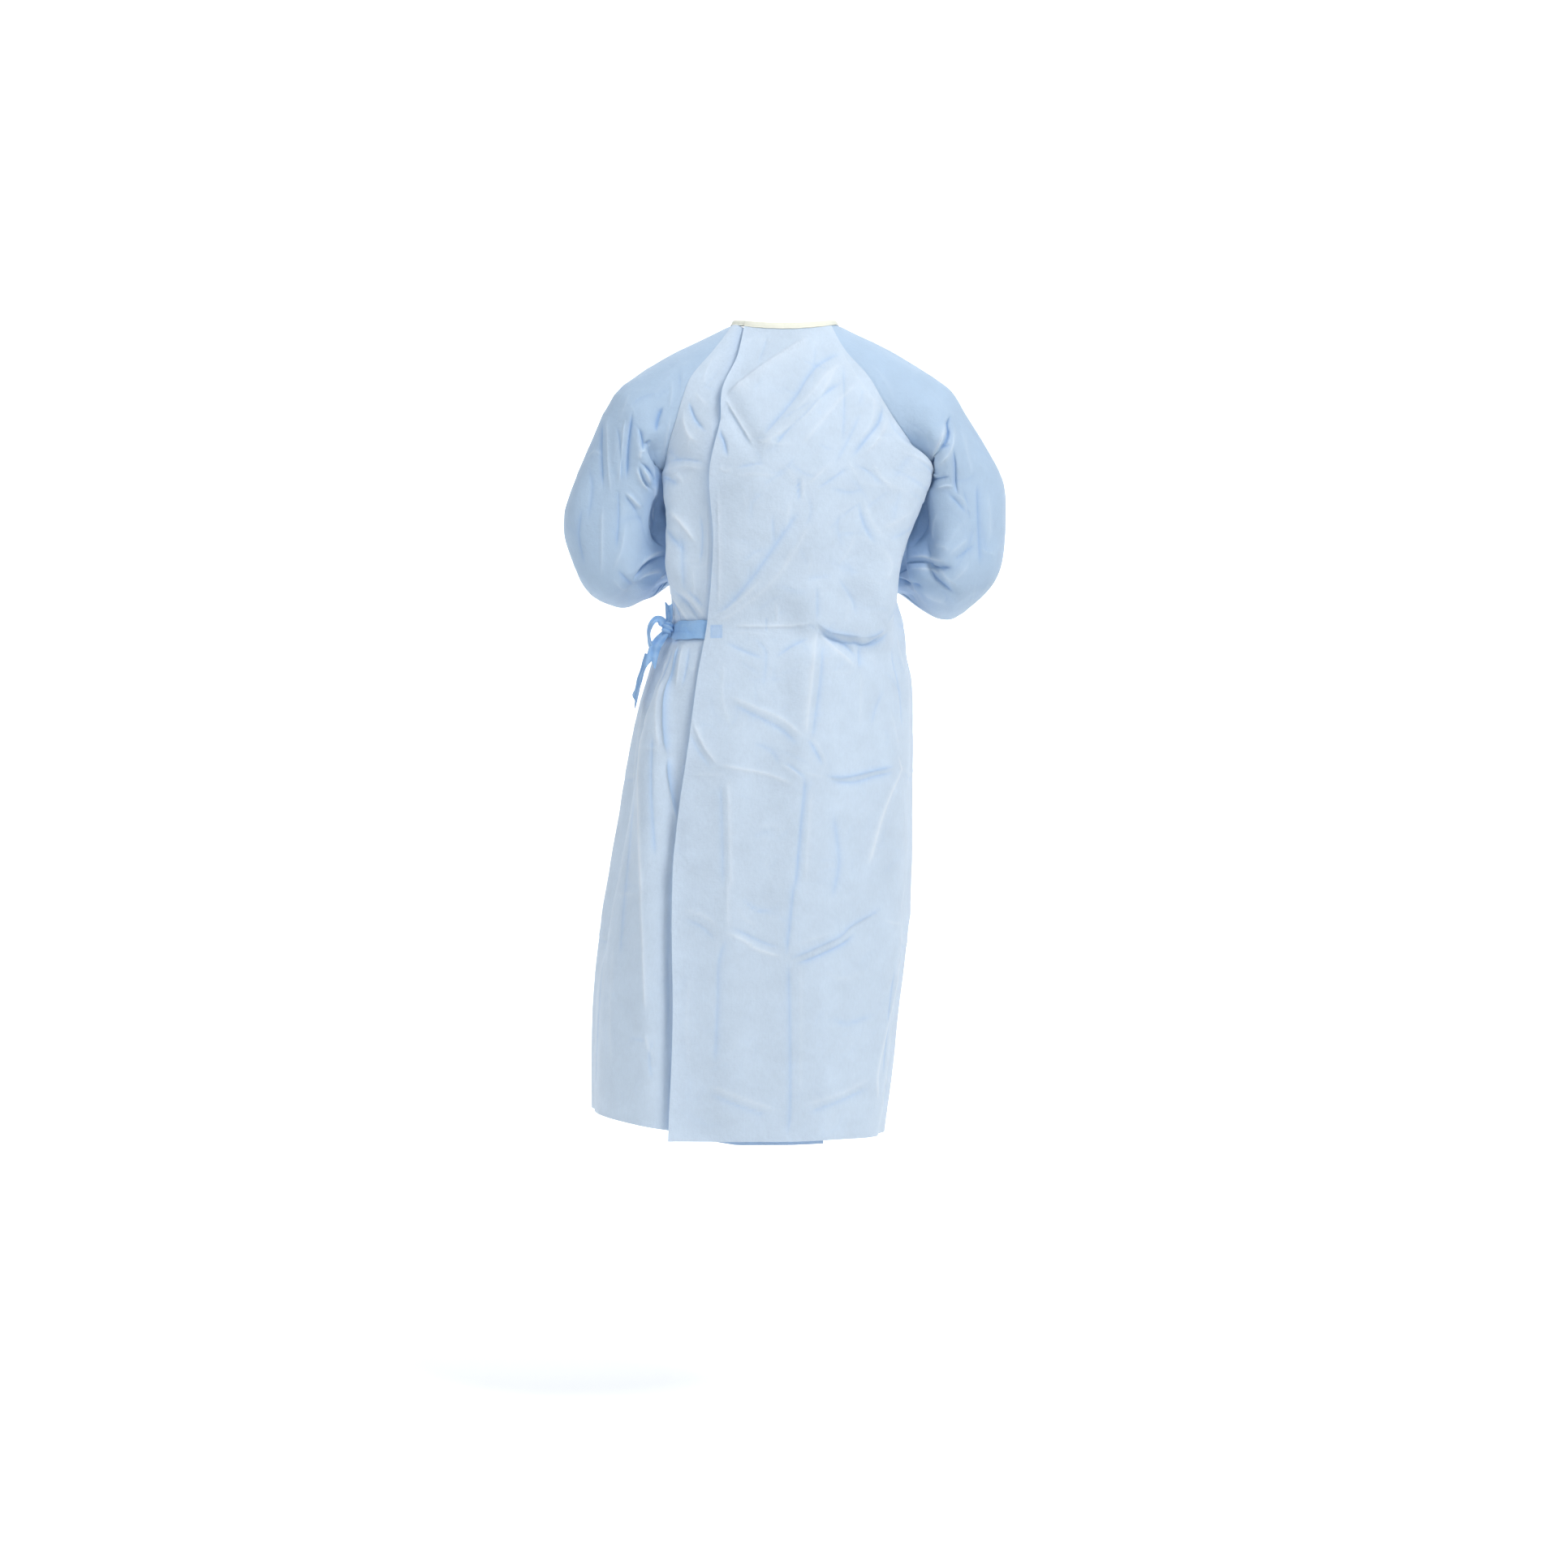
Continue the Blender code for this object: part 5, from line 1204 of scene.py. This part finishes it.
def knit(name, colour):
    """Rib knit: rows of small stitches as bumps from the UV map, a slight unevenness in the white, and no
    shine."""
    material, tree, shader, place = new_material(name)
    uneven = wired(tree, "TexNoise", {"Vector": place["Object"], "Scale": 180.0}).outputs["Fac"]
    sockets = {"Vector": place["UV"], "Scale": 260.0, "Distortion": 1.5}
    stitches = wired(tree, "TexWave", sockets, bands_direction="Y").outputs["Fac"]
    wired(tree, shader, {
        "Base Color": blend(tree, uneven, (*(0.93 * c for c in colour), 1.0), (*colour, 1.0)),
        "Normal": wired(tree, "Bump", {"Height": stitches, "Distance": 0.0003}).outputs["Normal"],
        "Roughness": 0.92,
        "Sheen Weight": 0.3,
    })
    return material


CUFF_WHITE = knit("rib_knit", (0.88, 0.88, 0.86))
cuff_turns = np.arange(RIBS * 6) / (RIBS * 6)
for side in ("left", "right"):
    rings, direction = arm_rings(side, cuff_turns)
    ring, heading = rings[-1], direction[-1]
    middle = ring.mean(axis=0)
    radius = SLEEVES[side]["wide"][-1]
    share = np.linspace(-0.04, 1.0, 16)
    narrowed = CUFF_WRIST + (radius * CUFF_START - CUFF_WRIST) * (1 - smoothstep(share / CUFF_GRIP))
    rib = np.cos(2 * math.pi * RIBS * cuff_turns)[None] * smoothstep((share + 0.04) / 0.15)[:, None]
    size = (narrowed[:, None] + RIB_DEPTH * (rib - 1) - 0.0006 * (share[:, None] < 0.0)) / radius
    grid = middle + (ring - middle)[None] * size[..., None] + heading * (CUFF_LENGTH * share)[:, None, None]
    cuff = cloth(
        f"cuff_{side}_knit", f"cuff_{side}", grid, CUFF_WHITE, CUFF_KNIT,
        closed=True, flip=side == "left",
    )

# --------------------------------------------------------------------------------------------- neck binding
# A cream knitted tape folded over the raw edge of the neck, from the outer free edge right round to the
# inner one, and sewn through with one row of stitches near its lower edge.
BINDING_HEIGHT, BINDING_HALF, BINDING_LEAN, BINDING_TAPE = 0.0084, 0.0011, 0.42, 0.0005
BINDING_DIP = 0.0028  # how much lower its top is at the sides
STITCH_PITCH, STITCH_DEPTH, STITCH_ROW = 0.0036, 0.00030, 0.0012

BINDING_CREAM = knit("binding_tape", (0.98, 0.96, 0.82))
first = angle_at(WRAP["outer_edge"][-1], NECK)
last = 2 * math.pi + angle_at(WRAP["inner_edge"][-1], NECK)
angles = np.linspace(first, last, 380)
edge = body_form(angles, NECK)
outward = unit(edge * np.array([1.0, 1.0, 0.0]))
under_from, under_at = 2 * math.pi + seam_angle("left", "back", np.array([NECK]))[0], 2 * math.pi + first
tuck = WRAP["tuck"][-1] * smoothstep((angles - under_from) / (under_at - under_from))
line = edge - outward * (0.0003 + tuck)[:, None]
up = unit(np.array([0.0, 0.0, 1.0]) - BINDING_LEAN * outward)
side_out = unit(outward + BINDING_LEAN * np.array([0.0, 0.0, 1.0]))
rise = np.linspace(-0.0016, BINDING_HEIGHT - BINDING_HALF, 11)
bend = np.linspace(0.0, math.pi, 9)[1:-1]
face = np.full(11, BINDING_HALF)
profile_up = np.concatenate([rise, BINDING_HEIGHT - BINDING_HALF + BINDING_HALF * np.sin(bend), rise[::-1]])
profile_out = np.concatenate([face, BINDING_HALF * np.cos(bend), -face])
run = np.concatenate([[0.0], np.cumsum(np.linalg.norm(np.diff(line, axis=0), axis=-1))])
waver = 0.00025 * np.sin(run / 0.011) * np.sin(run / 0.0047 + 1.0)
sewn = np.exp(-(((profile_up - STITCH_ROW) / 0.0007) ** 2))[:, None]
sewn = sewn * (0.45 + 0.55 * np.cos(2 * math.pi * run / STITCH_PITCH))
thin = (1 - 0.25 * np.exp(-(((profile_up - STITCH_ROW) / 0.0015) ** 2)))[:, None]
thin = thin - np.abs(sewn) * STITCH_DEPTH / BINDING_HALF
lower = np.clip(profile_up / BINDING_HEIGHT, 0.0, 1.0)[:, None] * BINDING_DIP * np.sin(angles) ** 2
grid = line[None] + up[None] * (profile_up[:, None] + waver - lower)[..., None]
grid = grid + side_out[None] * (profile_out[:, None] * thin)[..., None]
binding = cloth("neck_binding_strip", "neck_binding", grid, BINDING_CREAM, BINDING_TAPE, flip=True)

# ----------------------------------------------------------------------------------------------------- ties
# Two waist ties, strips of the nonwoven doubled to 26 mm wide. One comes out from under the outer panel's
# free edge and runs forward to the knot at the wearer's left side; the other is sewn to the front and comes
# back to it.
TIE_ABOVE, TIE_WANDER, KNOT_PINCH = 0.0030, 0.0006, 0.34  # off the cloth, up and down, narrower at the knot
KNOT_ANGLE, KNOT_ABOVE, KNOT_OUT = math.radians(-72), 0.003, 0.0105
TIE_CREASES = crease_table("""
-188 -451 -160 -449 -120 -452 | 3 4 -0.5
-186 -443 -165 -440 -138 -441 | 3 3 0.4
-184 -456 -170 -457 -150 -455 | 2.5 3 0.4
""")


def tie_band(angles, skin):
    """A tie lying on the cloth at the tie's height: the cloth's own points moved out, with the tie's
    doubled edges a little thicker than its middle and a slight wander up and down, and the painted shade
    and highlight of its wrinkles."""
    share = np.linspace(-0.5, 0.5, 23)
    narrow = 1 - KNOT_PINCH * smoothstep(1 - np.abs(angles - KNOT_ANGLE) / 0.20)
    wander = TIE_WANDER * np.sin(angles * 23.0)
    heights = TIE_HEIGHT + share[:, None] * TIE_WIDTH * narrow + wander
    points, normal = skin(*np.broadcast_arrays(angles[None], heights))
    doubled = 0.0003 * np.exp(-(((np.abs(share) - 0.46) / 0.04) ** 2))
    rows = TIE_CREASES + crumple(61, 60, (-200, 60), (-462, -432), 0.5)
    wrinkle = creases(points[..., 0], points[..., 2], rows)
    lift = TIE_ABOVE + doubled[:, None] + 0.8 * wrinkle[..., 0]
    return points + normal * lift[..., None], 2 * wrinkle[..., 1]


def front_skin(angle, height):
    """The front's cloth under the tie, with its large folds only."""
    form, normal, large = body_relief(angle, height, {})[:3]
    return form + normal * large[..., None], normal


# The deeper blue tie cloth, then its painted shade colour and its painted highlight colour.
TIE_BLUE = nonwoven(
    "nonwoven_tie", (0.29, 0.485, 0.76), (0.10, 0.26, 0.62), (0.50, 0.66, 0.86), cloudy=0.05, through=0.06
)
TIE_WALL = 0.0006
tucked = angle_at(np.array([-0.086]), np.array([TIE_HEIGHT]))[0]
front_end = -math.pi - angle_at(np.array([-0.095]), np.array([TIE_HEIGHT]))[0]
back_angles = np.linspace(KNOT_ANGLE + 0.005, tucked, 150)
grid, wrinkle = tie_band(back_angles, lambda angle, height: inner_skin(angle, height, False)[:2])
tie_back = cloth("tie_back_strip", "tie_back", grid, TIE_BLUE, TIE_WALL, painted_shading=wrinkle)
grid, wrinkle = tie_band(np.linspace(front_end, KNOT_ANGLE - 0.005, 170), front_skin)
tie_front = cloth("tie_front_strip", "tie_front", grid, TIE_BLUE, TIE_WALL, painted_shading=wrinkle)

# ---------------------------------------------------------------------------------------- knot and tie ends
# The knot where the two ties meet, its upper stub folded lengthwise, one loop, and the two free ends: a
# short one with a ragged cut and a long one cut on the slant.
KNOT_HALF = (0.0088, 0.0072, 0.0090)
RAGGED_CUT = (0.6, 1.0, 0.1, -0.5, -1.0, -0.6, 0.1, 0.9, 0.5)  # across an end
RIBBON_COLUMNS = "x y z width face curl"
RIBBONS = {  # from the middle of the knot
    "tie_stub": """
0.0010 -0.001 0.006 0.0100 15 100
0.0020 -0.002 0.018 0.0115 10 110
0.0016 -0.002 0.034 0.0120  5  90
""",
    "tie_loop": """
-0.0030 -0.002  0.0030 0.011 10 40
-0.0095 -0.003  0.0090 0.014 15 30
-0.0165 -0.006  0.0105 0.014 40 20
-0.0225 -0.009  0.0050 0.014 58 20
-0.0260 -0.009 -0.0050 0.015 68 20
-0.0266 -0.010 -0.0160 0.016 72 10
-0.0240 -0.010 -0.0270 0.016 66 10
""",
    "tie_end_short": """
-0.0020 -0.001 -0.0070 0.0110 15 70
-0.0105 -0.002 -0.0175 0.0150 10 40
-0.0175 -0.003 -0.0275 0.0165  0 30
-0.0215 -0.003 -0.0400 0.0165  0 30
-0.0243 -0.003 -0.0540 0.0155  0 20
""",
    "tie_end_long": """
-0.0285 0.008 -0.0380 0.015 55 30
-0.0330 0.009 -0.0540 0.016 60 30
-0.0385 0.009 -0.0705 0.016 62 30
-0.0432 0.009 -0.0880 0.017 64 30
-0.0485 0.008 -0.1060 0.019 58 20
""",
}

point, way = front_skin(np.array([KNOT_ANGLE]), np.array([TIE_HEIGHT + KNOT_ABOVE]))
knot_middle = point[0] + way[0] * KNOT_OUT
azimuth = np.arange(96) / 96 * 2 * math.pi
polar = np.linspace(0.02, math.pi - 0.02, 60)
ball = np.stack(np.broadcast_arrays(
    np.sin(polar)[:, None] * np.cos(azimuth), np.sin(polar)[:, None] * np.sin(azimuth), np.cos(polar)[:, None]
), axis=-1)
wrap = ball @ unit(np.array([0.45, 0.25, 1.0]))  # the turns of the knot lie across this direction
folds = 0.10 * np.cos(9.0 * wrap)
folds = folds - 0.16 * np.exp(-(((wrap - 0.22) / 0.10) ** 2)) - 0.12 * np.exp(-(((wrap + 0.45) / 0.09) ** 2))
grid = knot_middle + np.array(KNOT_HALF) * power(ball, 0.85) * (1 + 0.6 * folds)[..., None]
# Painted shade in the knot's folds and painted highlight on its turns.
cloth("tie_knot_lump", "tie_knot", grid, TIE_BLUE, 0.0, closed=True, flip=True, painted_shading=folds * 4)


def ribbon(rows, start, across_count, along_count, ragged=0.0, slant=0.0):
    """A strip along a smooth line through the rows, rounded across by its curl, with its last end cut
    ragged or on the slant, and small ripples along it."""
    columns = table(RIBBON_COLUMNS, rows)
    knots = np.arange(len(columns["x"]), dtype=float)
    share = np.linspace(-0.5, 0.5, across_count)
    at = np.linspace(0.0, knots[-1], along_count)
    line = start + np.stack([curve_through(at, knots, columns[name]) for name in "xyz"], axis=-1)
    width, face, curl = (curve_through(at, knots, columns[name]) for name in ("width", "face", "curl"))
    tangent = unit(np.gradient(line, axis=0))
    flat = unit(np.cross(tangent, np.array([0.0, 1.0, 0.0])))
    away = np.cross(tangent, flat)
    turn = np.radians(face)[:, None]
    across, out = flat * np.cos(turn) + away * np.sin(turn), away * np.cos(turn) - flat * np.sin(turn)
    curl = np.radians(np.maximum(curl, 1.0))
    swing = curl[None] * share[:, None]
    grid = line + across * ((width / curl) * np.sin(swing))[..., None]
    grid = grid + out * ((width / curl) * (1 - np.cos(swing)))[..., None]
    run = at / knots[-1]
    ripple = 0.00045 * np.sin(share[:, None] * 11.0 + 1.6 * np.sin(run * 5.0))
    ripple = ripple + 0.0003 * np.sin(run * 17.0 + share[:, None] * 4.0)
    cut = ragged * np.interp(share, np.linspace(-0.5, 0.5, len(RAGGED_CUT)), RAGGED_CUT) + slant * share
    cut = cut[:, None] * smoothstep((run - 0.75) / 0.25)
    grid = grid + out * ripple[..., None] + tangent * cut[..., None]
    return grid, ripple


ENDS = {  # points across and along, ragged, slant, flat width and length
    "tie_stub": (22, 40, 0.0020, 0.004, 0.0145, 0.028),
    "tie_loop": (20, 90, 0.0, 0.0, 0.0165, 0.054),
    "tie_end_short": (26, 70, 0.0055, 0.0, 0.0195, 0.050),
    "tie_end_long": (26, 100, 0.0012, 0.020, 0.0210, 0.078),
}
for node, (across_count, along_count, ragged, slant, flat_width, flat_length) in ENDS.items():
    grid, ripple = ribbon(RIBBONS[node], knot_middle, across_count, along_count, ragged, slant)
    # The ripples carry painted shade in their troughs and painted highlight on their tops.
    end = cloth(node + "_strip", node, grid, TIE_BLUE, TIE_WALL, offset=0.0, painted_shading=ripple * 700)
